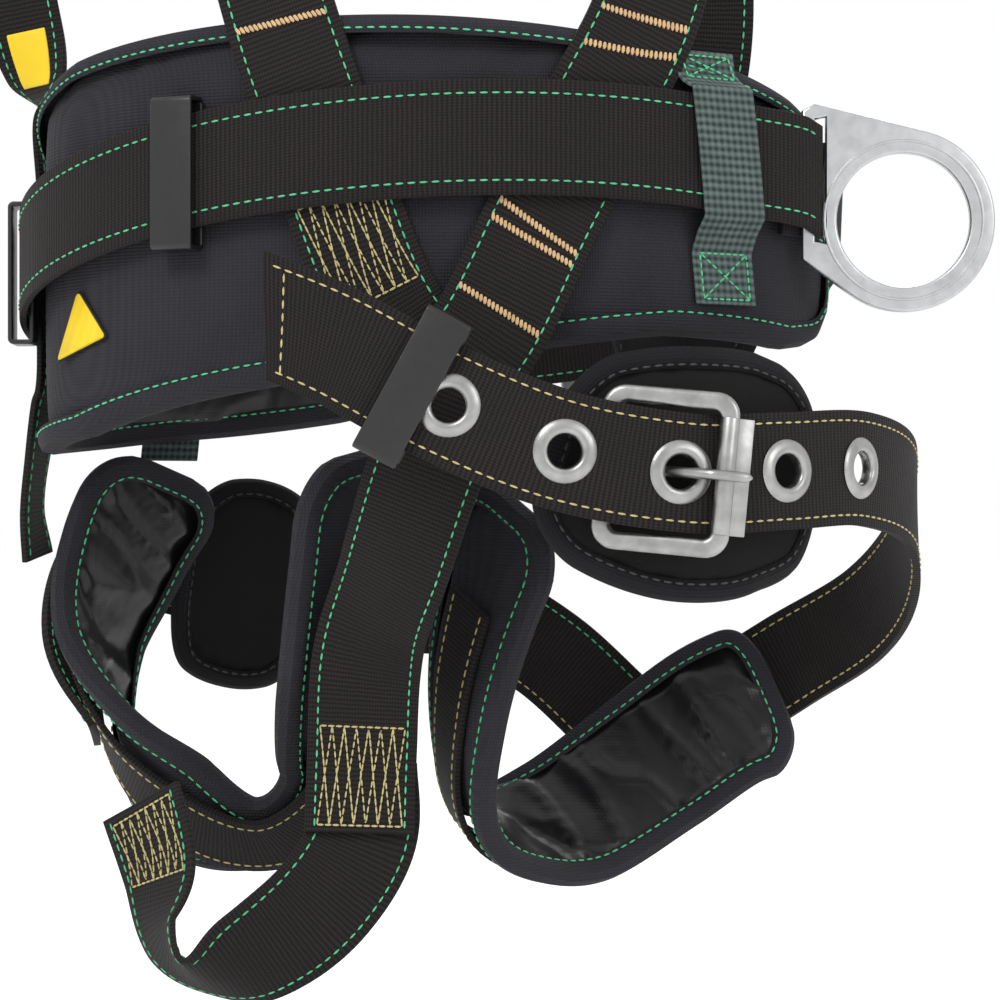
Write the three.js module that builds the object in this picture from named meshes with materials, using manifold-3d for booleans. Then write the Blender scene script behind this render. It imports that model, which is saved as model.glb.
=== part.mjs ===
// Tree climbing saddle: waist pad and belt, two padded leg loops, crossed back straps, lift loop,
// two side D-rings and three tongue buckles. Millimetres, +Z up, origin at the centre of the waist
// opening, the wearer's back towards -Y.
import * as THREE from 'three';
import { mergeVertices } from 'three/addons/utils/BufferGeometryUtils.js';
import Module from 'manifold-3d';

const wasm = await Module();
wasm.setup();

// ---------------------------------------------------------------- driving dimensions
const WEBBING = 44.5;
const NARROW_WEBBING = 32;
const STRAP_THICK = 2.6;
const BELT_THICK = 3;
const GAP = 0.3;

const WAIST = { halfWidth: 156, halfDepth: 99, slopeY: -0.3, slopeX: 0.05, padFrom: -173, padTo: 78 };
const PAD = { skin: 1.6, foam: 8 };
const PAD_THICK = 2 * PAD.skin + PAD.foam + 2 * GAP;
const LEG_PAD = { width: 72, skin: 1.2, foam: 5.2, gap: 0.8, steps: 30 };
// The left leg pad narrows where it turns under the thigh: by how much, where and how gradually.
const LEFT_PAD_WAIST = { by: 32, at: 0.42, spread: 0.13 };
const BELT_OFFSET = 18.5;
const BELT_END_OFFSET = 24;
const FRONT_BELT_OFFSET = 5;

const FOLD_RADIUS = 4.1;
const FOLD_RETURN = 14;
const D_RING = { eye: 27, outer: 37, reach: 38, drop: -16, bar: 2, slotHalf: 25.5, top: 31, foot: -37, thick: 5 };
const D_RING_SWING = { right: 46, left: 0 };
const KEEPER = { tall: 60, deep: 11, wall: 2, long: 18 };
const GROMMET = { hole: 6.4, barrel: 7.4, flange: 12, lip: 0.9, bedding: 0.9 };
const BUCKLE = { pivotAt: -26, pivotDrop: -9.5, rollerAt: 16, rollerRise: 5.5, armAt: 27.5, arm: 7, thick: 4.5 };
const BAR_RADIUS = 2.4;
const ROLLER = { bore: 2.8, outer: 3.6, half: 22, fin: 7, finThick: 1.4 };
const TONGUE_RADIUS = 2;
const HUB = { bore: 2.8, outer: 4.4, half: 4 };

// ---------------------------------------------------------------- materials
const finish = (color, roughness, metalness = 0) => ({ color, roughness, metalness });
const CANVAS = finish(0x34343c, 0.92);
const FOAM = finish(0x4a4a4e, 0.95);
const LINING = finish(0x17171a, 0.55);
const BLACK_WEB = finish(0x2b2627, 0.85);
const GREY_WEB = finish(0x55645f, 0.8);
const BLACK_COAT = finish(0x141416, 0.45, 0.2);
const SUEDE = finish(0x1d1c1e, 0.95);
const ALUMINIUM = finish(0xc9ccce, 0.35, 1);
const ZINC = finish(0xb4b6b4, 0.38, 1);

const group = new THREE.Group();
group.name = 'tree_climbing_saddle';

function add(name, geometry, look, placement) {
  const mesh = new THREE.Mesh(geometry, new THREE.MeshStandardMaterial(look));
  mesh.name = name;
  if (placement) mesh.applyMatrix4(placement);
  group.add(mesh);
  return mesh;
}

// ---------------------------------------------------------------- frames and sweeps
const rad = THREE.MathUtils.degToRad;
const vec = (x, y, z) => new THREE.Vector3(x, y, z);

// A frame has a place, a side direction across the strap and an out direction away from the wearer.
function frameOf(at, out, along) {
  const side = vec().crossVectors(out, along).normalize();
  return { at, side, out: vec().crossVectors(along, side).normalize(), along: along.clone().normalize() };
}

function placeAt(frame, shift = 0) {
  const at = frame.at.clone().addScaledVector(frame.out, shift);
  return new THREE.Matrix4().makeBasis(frame.side, frame.out, frame.along).setPosition(at);
}

// A route is a hand-chosen list of [x, y, z, out x, out y, out z].
class Route {
  constructor(rows) {
    const spline = (list) => new THREE.CatmullRomCurve3(list, false, 'catmullrom', 0.5);
    this.path = spline(rows.map((r) => vec(r[0], r[1], r[2])));
    this.facing = spline(rows.map((r) => vec(r[3], r[4], r[5])));
    this.spans = rows.length - 1;
  }

  frame(t) {
    const along = this.path.getTangent(t);
    return frameOf(this.path.getPoint(t), this.facing.getPoint(t).normalize(), along);
  }

  frames(steps, from = 0, to = this.spans) {
    const at = (i) => (from + ((to - from) * i) / steps) / this.spans;
    return Array.from({ length: steps + 1 }, (_, i) => this.frame(at(i)));
  }

  // The first frame to reach x.
  nearest(x) {
    const steps = 1200;
    const gap = (i) => this.path.getPoint(i / steps).x - x;
    let first = 0;
    while (first < steps && gap(first) * gap(first + 1) > 0) first += 1;
    return this.frame(first / steps);
  }
}

// Sweeps a rectangle through frames; inner and outer are measured along each frame's out direction.
function sweep(frames, width, inner, outer, across = 1) {
  const geometry = matchDiagonals(new THREE.BoxGeometry(1, 1, 1, across, 1, frames.length - 1));
  const place = geometry.attributes.position;
  for (let i = 0; i < place.count; i += 1) {
    const f = frames[Math.round((place.getZ(i) + 0.5) * (frames.length - 1))];
    const reach = inner + (place.getY(i) + 0.5) * (outer - inner);
    const wide = typeof width === 'function' ? width(place.getZ(i) + 0.5) : width;
    const p = f.at.clone().addScaledVector(f.side, place.getX(i) * wide).addScaledVector(f.out, reach);
    place.setXYZ(i, p.x, p.y, p.z);
  }
  return closed(geometry);
}

const strap = (frames, width, thick = STRAP_THICK) => sweep(frames, width, -thick / 2, thick / 2);

// Splits the inner face's squares along the same diagonal as the outer face's, so that stacked layers
// stay a constant gap apart where they twist.
function matchDiagonals(geometry) {
  const { index, groups } = geometry;
  for (let i = groups[3].start; i < groups[3].start + groups[3].count; i += 6) {
    const [a, b, d, c] = [index.getX(i), index.getX(i + 1), index.getX(i + 2), index.getX(i + 4)];
    [a, b, c, a, c, d].forEach((corner, k) => index.setX(i + k, corner));
  }
  return geometry;
}

function closed(geometry) {
  geometry.deleteAttribute('normal');
  geometry.deleteAttribute('uv');
  const merged = mergeVertices(geometry, 1e-4);
  merged.computeVertexNormals();
  return merged;
}

// ---------------------------------------------------------------- the waist ring
// Degrees run from the middle of the back (0) to the right hip (90) and the left hip (-90).
function ringPoint(degrees, offset, rise = 0) {
  const x = (WAIST.halfWidth + offset) * Math.sin(rad(degrees));
  const y = -(WAIST.halfDepth + offset) * Math.cos(rad(degrees));
  return vec(x, y, WAIST.slopeY * y + WAIST.slopeX * x + rise);
}

function ringFrame(degrees, offset, rise = 0) {
  const out = vec(Math.sin(rad(degrees)) / WAIST.halfWidth, -Math.cos(rad(degrees)) / WAIST.halfDepth, 0);
  const at = ringPoint(degrees, offset, rise);
  const flat = vec(Math.cos(rad(degrees)) * WAIST.halfWidth, Math.sin(rad(degrees)) * WAIST.halfDepth, 0);
  return { at, side: vec(0, 0, 1), out: out.normalize(), along: flat.normalize() };
}

function ringFrames(from, to, step, offset) {
  const count = Math.round((to - from) / step);
  const reach = typeof offset === 'function' ? offset : () => offset;
  return Array.from({ length: count + 1 }, (_, i) => {
    const degrees = from + ((to - from) * i) / count;
    return ringFrame(degrees, reach(degrees));
  });
}

// The pad's edges above and below the belt's centre line, from the far left end to the right end.
const PAD_EDGES = [
  { at: -173, top: 26, bottom: -30 },
  { at: -130, top: 44, bottom: -50 },
  { at: -85, top: 66, bottom: -78 },
  { at: -60, top: 66, bottom: -86 },
  { at: 0, top: 52, bottom: -83 },
  { at: 35, top: 43, bottom: -68 },
  { at: 60, top: 36, bottom: -64 },
  { at: 72, top: 30, bottom: -56 },
  { at: 78, top: 14, bottom: -40 },
];

function padEdge(degrees, edge) {
  const next = PAD_EDGES.findIndex((row, i) => i > 0 && row.at >= degrees - 1e-6);
  const i = (next < 0 ? PAD_EDGES.length - 1 : next) - 1;
  const [a, b] = [PAD_EDGES[i], PAD_EDGES[i + 1]];
  return THREE.MathUtils.lerp(a[edge], b[edge], (degrees - a.at) / (b.at - a.at));
}

function waistLayer(inner, outer, steps = 30, rows = 2) {
  const geometry = matchDiagonals(new THREE.BoxGeometry(1, 1, 1, rows, 1, steps));
  const place = geometry.attributes.position;
  for (let i = 0; i < place.count; i += 1) {
    const degrees = WAIST.padFrom + (place.getZ(i) + 0.5) * (WAIST.padTo - WAIST.padFrom);
    const rise = THREE.MathUtils.lerp(padEdge(degrees, 'bottom'), padEdge(degrees, 'top'), place.getX(i) + 0.5);
    const p = ringPoint(degrees, inner + (place.getY(i) + 0.5) * (outer - inner), rise);
    place.setXYZ(i, p.x, p.y, p.z);
  }
  return closed(geometry);
}

function buildWaistPad() {
  const coreFrom = PAD.skin + GAP;
  const coverFrom = coreFrom + PAD.foam + GAP;
  add('waist_pad_lining', waistLayer(0, PAD.skin), LINING);
  add('waist_pad_foam', waistLayer(coreFrom, coreFrom + PAD.foam), FOAM);
  add('waist_pad_cover', waistLayer(coverFrom, PAD_THICK), CANVAS);
}

// ---------------------------------------------------------------- belts
const RIGHT_BAR_AT = 59.5;
const LEFT_BAR_AT = -177;
const BAR_OFFSET = BELT_END_OFFSET - FOLD_RADIUS;

// The belt leaves the pad towards each end to make room for its fold round the ring's bar.
function beltOffset(degrees) {
  const right = THREE.MathUtils.smoothstep(degrees, 44, 57);
  const left = 1 - THREE.MathUtils.smoothstep(degrees, -168, -150);
  return THREE.MathUtils.lerp(BELT_OFFSET, BELT_END_OFFSET, Math.max(right, left));
}

// The fold turns half a circle round the bar and runs back under the belt.
function fold(barAt, direction) {
  const bar = ringFrame(barAt, BAR_OFFSET);
  const ahead = bar.along.clone().multiplyScalar(direction);
  const turn = Array.from({ length: 9 }, (_, i) => {
    const angle = (Math.PI * i) / 8;
    const out = bar.out.clone().multiplyScalar(Math.cos(angle)).addScaledVector(ahead, Math.sin(angle));
    return { at: bar.at.clone().addScaledVector(out, FOLD_RADIUS), side: bar.side, out };
  });
  const last = turn[turn.length - 1];
  const end = { ...last, at: last.at.clone().addScaledVector(ahead, -FOLD_RETURN) };
  return [...turn, end];
}

function buildBelts() {
  const run = ringFrames(LEFT_BAR_AT + 4, RIGHT_BAR_AT - 3, 6, beltOffset);
  const frames = [...fold(LEFT_BAR_AT, -1).reverse(), ...run, ...fold(RIGHT_BAR_AT, 1)];
  add('waist_belt', strap(frames, WEBBING, BELT_THICK), BLACK_WEB);
}

// ---------------------------------------------------------------- solids by joining and cutting
function toSolid(geometry) {
  const bare = closed(geometry.clone());
  const mesh = { numProp: 3, vertProperties: bare.attributes.position.array, triVerts: bare.index.array };
  return new wasm.Manifold(new wasm.Mesh(mesh));
}

function toGeometry(solid) {
  const mesh = solid.getMesh();
  const geometry = new THREE.BufferGeometry();
  geometry.setAttribute('position', new THREE.BufferAttribute(new Float32Array(mesh.vertProperties), 3));
  geometry.setIndex(new THREE.BufferAttribute(new Uint32Array(mesh.triVerts), 1));
  geometry.computeVertexNormals();
  return geometry;
}

const joined = (...parts) => toGeometry(parts.map(toSolid).reduce((whole, part) => whole.add(part)));
const cut = (body, ...tools) => toGeometry(tools.map(toSolid).reduce((whole, t) => whole.subtract(t), toSolid(body)));

function ringSection(bore, outer, half, segments = 16) {
  const corners = [[bore, -half], [outer, -half], [outer, half], [bore, half], [bore, -half]];
  return closed(new THREE.LatheGeometry(corners.map(([r, y]) => new THREE.Vector2(r, y)), segments));
}

// Rods and rings are turned about Y; this lays them along the side direction.
const alongSide = (geometry) => geometry.rotateZ(Math.PI / 2);

// ---------------------------------------------------------------- grommets
function grommetShape(strapThick) {
  const in_ = strapThick / 2 + GROMMET.bedding;
  const out = in_ + GROMMET.lip;
  const profile = [
    [GROMMET.hole, -out], [GROMMET.flange, -out], [GROMMET.flange, -in_], [GROMMET.barrel, -in_],
    [GROMMET.barrel, in_], [GROMMET.flange, in_], [GROMMET.flange, out], [GROMMET.hole, out],
    [GROMMET.hole, -out],
  ];
  return closed(new THREE.LatheGeometry(profile.map(([r, y]) => new THREE.Vector2(r, y)), 16));
}

function grommetStrap(name, frames, places, look) {
  const hole = places.map((f) => {
    const drill = new THREE.CylinderGeometry(GROMMET.barrel + GAP, GROMMET.barrel + GAP, 12, 16);
    return drill.applyMatrix4(placeAt(f));
  });
  add(name, cut(strap(frames, WEBBING, BELT_THICK), ...hole), look);
  places.forEach((f, i) => add(`${name}_grommet_${i + 1}`, grommetShape(BELT_THICK), ZINC, placeAt(f)));
}

// ---------------------------------------------------------------- buckles
// In a buckle's frame X lies across the strap, Y points outwards and Z along the strap.
function buildBuckle(name, frame) {
  const rise = BUCKLE.rollerRise - BUCKLE.pivotDrop;
  const run = BUCKLE.rollerAt - BUCKLE.pivotAt;
  const tilt = -Math.atan2(rise, run);
  const middle = vec(0, (BUCKLE.rollerRise + BUCKLE.pivotDrop) / 2, (BUCKLE.rollerAt + BUCKLE.pivotAt) / 2);
  const length = Math.hypot(rise, run) + BUCKLE.arm;
  const bar = () => alongSide(new THREE.CylinderGeometry(BAR_RADIUS, BAR_RADIUS, 2 * BUCKLE.armAt, 12));
  const arm = (side) => {
    const box = new THREE.BoxGeometry(BUCKLE.arm, BUCKLE.thick, length);
    return box.rotateX(tilt).translate(side * BUCKLE.armAt, middle.y, middle.z);
  };
  const body = joined(
    arm(-1),
    arm(1),
    bar().translate(0, BUCKLE.pivotDrop, BUCKLE.pivotAt),
    bar().translate(0, BUCKLE.rollerRise, BUCKLE.rollerAt),
  );
  const base = placeAt(frame);
  add(`${name}_frame`, body, ZINC, base);

  const rollerPlace = base.clone().multiply(new THREE.Matrix4().makeTranslation(0, BUCKLE.rollerRise, BUCKLE.rollerAt));
  const tube = alongSide(ringSection(ROLLER.bore, ROLLER.outer, ROLLER.half));
  const fin = new THREE.BoxGeometry(2 * ROLLER.half, ROLLER.finThick, ROLLER.fin);
  fin.translate(0, -ROLLER.outer + ROLLER.finThick, ROLLER.bore + ROLLER.fin / 2 + 0.2);
  add(`${name}_roller`, joined(tube, fin), ZINC, rollerPlace);

  const pivot = base.clone().multiply(new THREE.Matrix4().makeTranslation(0, BUCKLE.pivotDrop, BUCKLE.pivotAt));
  const bend = [[0, HUB.outer - 1], [1.5, 11], [2.5, 19.5], [17.5, 32], [21.3, 38], [22.6, 50]];
  const path = new THREE.CatmullRomCurve3(bend.map(([y, z]) => vec(0, y, z)), false, 'catmullrom', 0.5);
  const section = new THREE.Shape().absarc(0, 0, TONGUE_RADIUS, 0, 2 * Math.PI);
  const rod = new THREE.ExtrudeGeometry(section, { steps: 16, curveSegments: 5, extrudePath: path });
  add(`${name}_tongue`, joined(alongSide(ringSection(HUB.bore, HUB.outer, HUB.half)), rod), ZINC, pivot);
}

// ---------------------------------------------------------------- keepers
function keeperShape() {
  const box = (tall, deep, long) => new THREE.BoxGeometry(tall, deep, long);
  const inside = box(KEEPER.tall - 2 * KEEPER.wall, KEEPER.deep - 2 * KEEPER.wall, KEEPER.long + 2);
  return cut(box(KEEPER.tall, KEEPER.deep, KEEPER.long), inside);
}

// ---------------------------------------------------------------- D-rings
// Local X runs from the bar to the eye, local Y along the bar and local Z through the plate.
// Angle on a circle where a straight edge from a point outside it touches.
function touchAngle(from, centre, radius, turn) {
  const reach = centre.clone().sub(from);
  return Math.atan2(-reach.y, -reach.x) + turn * Math.acos(radius / reach.length());
}

function dRingShape() {
  const { eye, outer, reach, drop, bar, slotHalf, top, foot, thick } = D_RING;
  const centre = new THREE.Vector2(reach, drop);
  const [upper, lower] = [new THREE.Vector2(2, top), new THREE.Vector2(4, foot)];
  const shape = new THREE.Shape();
  shape.moveTo(-bar - 1, foot + 5);
  shape.lineTo(lower.x, lower.y);
  const low = touchAngle(lower, centre, outer, 1);
  const high = touchAngle(upper, centre, outer, -1);
  shape.absarc(reach, drop, outer, low, high, false);
  shape.lineTo(upper.x, upper.y);
  shape.lineTo(-bar - 1, top - 3);
  shape.closePath();
  shape.holes.push(new THREE.Path().absarc(reach, drop, eye, 0, 2 * Math.PI, true));
  const plate = new THREE.ExtrudeGeometry(shape, { depth: thick, bevelEnabled: false, curveSegments: 14 });
  plate.translate(0, 0, -thick / 2);
  const inner = FOLD_RADIUS + BELT_THICK / 2 + 1;
  const slot = new THREE.BoxGeometry(2 * inner, 2 * slotHalf, 3 * thick);
  const rod = new THREE.CylinderGeometry(bar, bar, 2 * slotHalf + 4, 12);
  return toGeometry(toSolid(plate).subtract(toSolid(slot)).add(toSolid(rod)));
}

function buildDRing(name, barAt, direction, swing) {
  const bar = ringFrame(barAt, BAR_OFFSET);
  const reach = bar.along.clone().multiplyScalar(direction * Math.cos(rad(swing)));
  reach.addScaledVector(bar.out, Math.sin(rad(swing))).normalize();
  const face = vec().crossVectors(reach, bar.side);
  const place = new THREE.Matrix4().makeBasis(reach, bar.side, face).setPosition(bar.at);
  add(name, dRingShape(), ALUMINIUM, place);
}

// ---------------------------------------------------------------- routes
// Where a strap lies on the waist pad its row is written as degrees round the ring, the rise above
// the belt's centre line and the offset from the pad's inner face.
const STRAP_ON_PAD = 13.9;
function onRing(degrees, rise, offset = STRAP_ON_PAD) {
  const at = ringPoint(degrees, offset, rise);
  const { out } = ringFrame(degrees, offset);
  return [at.x, at.y, at.z, out.x, out.y, out.z];
}

const BACK_STRAP_RIGHT = new Route([
  [100, -99, 150, 0.35, -1, 0], onRing(30, 56), onRing(23, 16), onRing(15, -28), onRing(11.5, -50, 15.6),
  onRing(8, -71, 18.2), onRing(4, -91, 19), [-2, -114, -92, 0, -1, 0.2],
  [-14, -94, -128, 0, -1, 0.4], [-26, -66, -165, 0, -1, 0.4], [-29, -52, -206, 0, -1, 0.1], [-30, -54, -238, 0, -1, 0],
]);
const BACK_STRAP_LEFT = new Route([
  [-76, -103, 150, -0.3, -1, 0], onRing(-20, 56), onRing(-15.7, 18), onRing(-10.5, -28), onRing(-6, -61),
  onRing(0, -87), [14, -109, -70, 0, -1, 0.1], [26, -103, -86, 0, -1, 0.2],
]);
const LIFT_LOOP = new Route([
  [-29, -48, -210, 0, -1, 0.1], [-29, -50, -240, 0, -1, 0], [-46, -55, -267, -0.05, -1, -0.1],
  [-72, -58, -287, -0.2, -0.8, -0.5], [-95, -56, -296, -0.4, -0.35, -0.85], [-111, -48, -281, -0.85, -0.5, -0.3],
  [-113, -38, -255, -0.7, -0.8, 0], [-122, -28, -228, -0.6, -0.9, 0],
]);
const RIGHT_LEG_STRAP = new Route([
  [-61, -150, -34, -0.1, -1, 0], [-35, -152, -45, -0.1, -1, 0], [8, -154, -68, 0, -1, 0],
  [51, -153, -85, 0.05, -1, 0], [98, -146, -93, 0.2, -1, 0], [135, -129, -92, 0.5, -1, 0],
  [169, -98, -91, 0.8, -0.7, 0], [194, -52, -101, 1, -0.25, 0], [198, -5, -128, 1, 0.2, 0],
  [186, 34, -153, 0.8, 0.6, -0.1], [155, 64, -176, 0.4, 0.9, -0.2], [112, 68, -204, 0.2, 1, -0.3],
]);
const RIGHT_LEG_PAD = new Route([
  [34, -58, -104, -0.8, -0.6, 0], [22, -42, -142, -0.85, -0.5, 0], [13, -30, -185, -0.9, -0.4, 0],
  [13, -14, -226, -0.8, 0, -0.6], [28, 4, -246, -0.25, 0.3, -0.9], [56, 24, -242, 0.1, 0.75, -0.65],
  [93, 40, -219, 0.15, 0.88, -0.45], [124, 48, -198, 0.15, 0.92, -0.35], [150, 50, -188, 0.15, 0.95, -0.3],
]);
const LEFT_LEG_PAD = new Route([
  [-30, -56, -84, 0.8, -0.6, 0], [-35, -42, -127, 0.8, -0.6, 0], [-42, -25, -178, 0.8, -0.6, -0.1],
  [-44, -8, -218, 0.45, -0.65, -0.6], [-68, 6, -243, 0, -0.7, -0.7], [-102, 14, -238, -0.25, -0.75, -0.6],
  [-134, 24, -207, -0.8, -0.3, -0.45], [-148, 36, -164, -0.92, 0.35, -0.1], [-138, 44, -126, -0.75, 0.65, 0],
  [-118, 40, -90, -0.6, 0.8, 0],
]);
const LEFT_LEG_STRAP = new Route([
  [-150, 34, -206, -0.8, -0.2, -0.45], [-162, 44, -166, -0.92, 0.4, -0.1], [-156, 74, -136, -0.8, 0.65, 0],
  [-134, 104, -132, -0.5, 0.87, 0], [-98, 120, -141, -0.25, 1, 0], [-60, 127, -148, -0.1, 1, 0],
  [-20, 126, -152, 0.05, 1, 0], [16, 120, -156, 0.1, 1, 0], [50, 110, -175, 0.1, 1, 0], [82, 100, -204, 0.1, 1, 0],
]);
// The left side's two narrow straps start between the pad and the belt.
const SIDE_STRAPS_AT = -103;
const UNDER_BELT = 13.6;
const LEFT_HIP_STRAP = new Route([
  onRing(SIDE_STRAPS_AT, -6, UNDER_BELT), onRing(SIDE_STRAPS_AT, -34, UNDER_BELT), [-170, 27, -62, -1, 0.2, 0],
  [-174, 26, -86, -1, 0.1, 0], [-176, 26, -108, -1, 0.1, 0], [-174, 28, -128, -1, 0.2, 0],
]);
const FRONT_STRAP_LEFT = new Route([
  onRing(SIDE_STRAPS_AT, 6, UNDER_BELT), onRing(SIDE_STRAPS_AT, 44, UNDER_BELT), [-170, 26, 62, -0.9, 0.1, 0],
  [-174, 24, 82, -0.5, -0.9, 0], [-179, 22, 104, 0, -1, 0], [-188, 20, 150, 0, -1, 0],
]);
const FRONT_STRAP_RIGHT = new Route([
  [84, 8, -14, 0.2, -1, 0], [98, 6, 24, 0.2, -1, 0], [114, 0, 66, 0.1, -1, 0],
  [118, -8, 108, 0, -1, 0], [112, -16, 150, 0, -1, 0],
]);
// The front belt starts on the pad's right end, as degrees and offset, and lies straight at its buckle.
const FRONT_BELT_ON_PAD = [[66, 15.2], [74, 15.2], [82, 14.2], [91, 9]];
const FRONT_BELT = (() => {
  const row = (degrees) => onRing(degrees, 0, FRONT_BELT_OFFSET);
  const facing = row(125).slice(3);
  const [near, far] = [row(100), row(150)].map((end) => [...end.slice(0, 3), ...facing]);
  const between = (share) => near.map((value, i) => value + (far[i] - value) * share);
  const straight = [0.25, 0.5, 0.75].map(between);
  const onPad = FRONT_BELT_ON_PAD.map(([degrees, offset]) => onRing(degrees, 0, offset));
  return new Route([...onPad, near, ...straight, far, row(162), row(174), row(186)]);
})();

// ---------------------------------------------------------------- straps and pads on routes
// Each leg pad's load webbing lies over part of the pad's steps, lifted clear of its twists.
const LEG_WEBBING = {
  right_leg_pad: { from: 4, to: 26, lift: 1.2 },
  left_leg_pad: { from: 4, to: 26, lift: 2.4 },
};

function buildLegPad(name, route, width) {
  const layer = (inner, outer) => sweep(route.frames(LEG_PAD.steps), width, inner, outer, 2);
  const half = LEG_PAD.foam / 2;
  const skinFrom = half + LEG_PAD.gap;
  add(`${name}_lining`, layer(-skinFrom - LEG_PAD.skin, -skinFrom), LINING);
  add(`${name}_foam`, layer(-half, half), FOAM);
  const outside = skinFrom + LEG_PAD.skin;
  add(`${name}_cover`, layer(skinFrom, outside), CANVAS);
  const { from, to, lift } = LEG_WEBBING[name];
  const under = outside + lift;
  const frames = route.frames(LEG_PAD.steps).slice(from, to + 1);
  add(`${name}_webbing`, sweep(frames, NARROW_WEBBING, under, under + STRAP_THICK, 2), BLACK_WEB);
}

function buildStraps() {
  add('back_strap_right', strap(BACK_STRAP_RIGHT.frames(32), WEBBING), BLACK_WEB);
  add('back_strap_left', strap(BACK_STRAP_LEFT.frames(28), WEBBING), BLACK_WEB);
  add('lift_loop', strap(LIFT_LOOP.frames(28), WEBBING), BLACK_WEB);
  add('left_hip_strap', strap(LEFT_HIP_STRAP.frames(9), NARROW_WEBBING), BLACK_WEB);
  add('front_strap_left', strap(FRONT_STRAP_LEFT.frames(12), NARROW_WEBBING), BLACK_WEB);
  add('front_strap_right', strap(FRONT_STRAP_RIGHT.frames(16), NARROW_WEBBING), BLACK_WEB);
}

// ---------------------------------------------------------------- belt loops of grey webbing
const LOOP = { width: 28, thick: 1.6, low: 13.2, high: 22 };

function beltLoop(degrees) {
  const rises = [[42, LOOP.low], [32, LOOP.low], [25, LOOP.high], [-25, LOOP.high], [-34, LOOP.low], [-56, LOOP.low]];
  const across = ringFrame(degrees, 0);
  const side = across.along.clone().negate();
  const frames = rises.map(([rise, offset]) => ({ at: ringPoint(degrees, offset, rise), side, out: across.out }));
  return strap(frames.reverse(), LOOP.width, LOOP.thick);
}

// ---------------------------------------------------------------- assembly
const RIGHT_LEG_GROMMETS = [8, 51, 94, 135, 166];
const LEFT_LEG_GROMMETS = [-94, -56, -22, 8];
const FRONT_GROMMETS = [120, 148];
const BUCKLE_PAD = { half: 48, taper: 0.28, thick: 6, behind: 15, steps: 8 };

function backingPad(route, x, reach) {
  const { half, taper, thick, behind, steps } = BUCKLE_PAD;
  const places = Array.from({ length: steps + 1 }, (_, i) => x - reach + (2 * reach * i) / steps);
  const frames = places.map((place) => route.nearest(place));
  const width = (u) => 2 * half * (1 - taper + taper * Math.sin(Math.PI * u));
  return sweep(frames, width, -behind - thick, -behind, 2);
}

buildWaistPad();
buildBelts();
buildStraps();
buildLegPad('right_leg_pad', RIGHT_LEG_PAD, LEG_PAD.width);
buildLegPad('left_leg_pad', LEFT_LEG_PAD, (u) => {
  const { by, at, spread } = LEFT_PAD_WAIST;
  return LEG_PAD.width - by * Math.exp(-(((u - at) / spread) ** 2));
});

grommetStrap('right_leg_strap', RIGHT_LEG_STRAP.frames(48), RIGHT_LEG_GROMMETS.map((x, i) => {
  return i < 4 ? RIGHT_LEG_STRAP.nearest(x) : RIGHT_LEG_STRAP.frame(5.9 / RIGHT_LEG_STRAP.spans);
}), BLACK_WEB);
grommetStrap('left_leg_strap', LEFT_LEG_STRAP.frames(40), LEFT_LEG_GROMMETS.map((x) => {
  return LEFT_LEG_STRAP.nearest(x);
}), BLACK_WEB);
grommetStrap('front_belt', FRONT_BELT.frames(32), FRONT_GROMMETS.map((x) => FRONT_BELT.nearest(x)), BLACK_WEB);

buildBuckle('right_leg_buckle', RIGHT_LEG_STRAP.nearest(RIGHT_LEG_GROMMETS[2]));
buildBuckle('left_leg_buckle', LEFT_LEG_STRAP.nearest(LEFT_LEG_GROMMETS[0]));
buildBuckle('front_buckle', FRONT_BELT.nearest(FRONT_GROMMETS[0]));

add('right_leg_buckle_pad', backingPad(RIGHT_LEG_STRAP, 104, 58), SUEDE);
add('left_leg_buckle_pad', backingPad(LEFT_LEG_STRAP, -94, 36), SUEDE);
add('front_buckle_pad', backingPad(FRONT_BELT, 119, -30), SUEDE);

const KEEPER_SHIFT = 0.4;
add('belt_keeper_rear', keeperShape(), BLACK_COAT, placeAt(ringFrame(-34.5, BELT_OFFSET), KEEPER_SHIFT));
add('belt_keeper_left', keeperShape(), BLACK_COAT, placeAt(ringFrame(-88, BELT_OFFSET), KEEPER_SHIFT));
add('right_leg_keeper', keeperShape(), BLACK_COAT, placeAt(RIGHT_LEG_STRAP.nearest(-5)));
add('left_leg_keeper', keeperShape(), BLACK_COAT, placeAt(LEFT_LEG_STRAP.nearest(30)));

add('belt_loop_right', beltLoop(42), GREY_WEB);
add('belt_loop_left', beltLoop(-135), GREY_WEB);

buildDRing('d_ring_right', RIGHT_BAR_AT, 1, D_RING_SWING.right);
buildDRing('d_ring_left', LEFT_BAR_AT, -1, D_RING_SWING.left);

export default group;
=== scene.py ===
"""Tree climbing saddle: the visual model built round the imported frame. Metres, +Z up, back towards -Y."""
import logging
import math
from dataclasses import dataclass, field
from enum import Enum
from typing import Callable, Sequence

import bmesh
import bpy
from mathutils import Matrix, Vector, kdtree, noise


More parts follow.
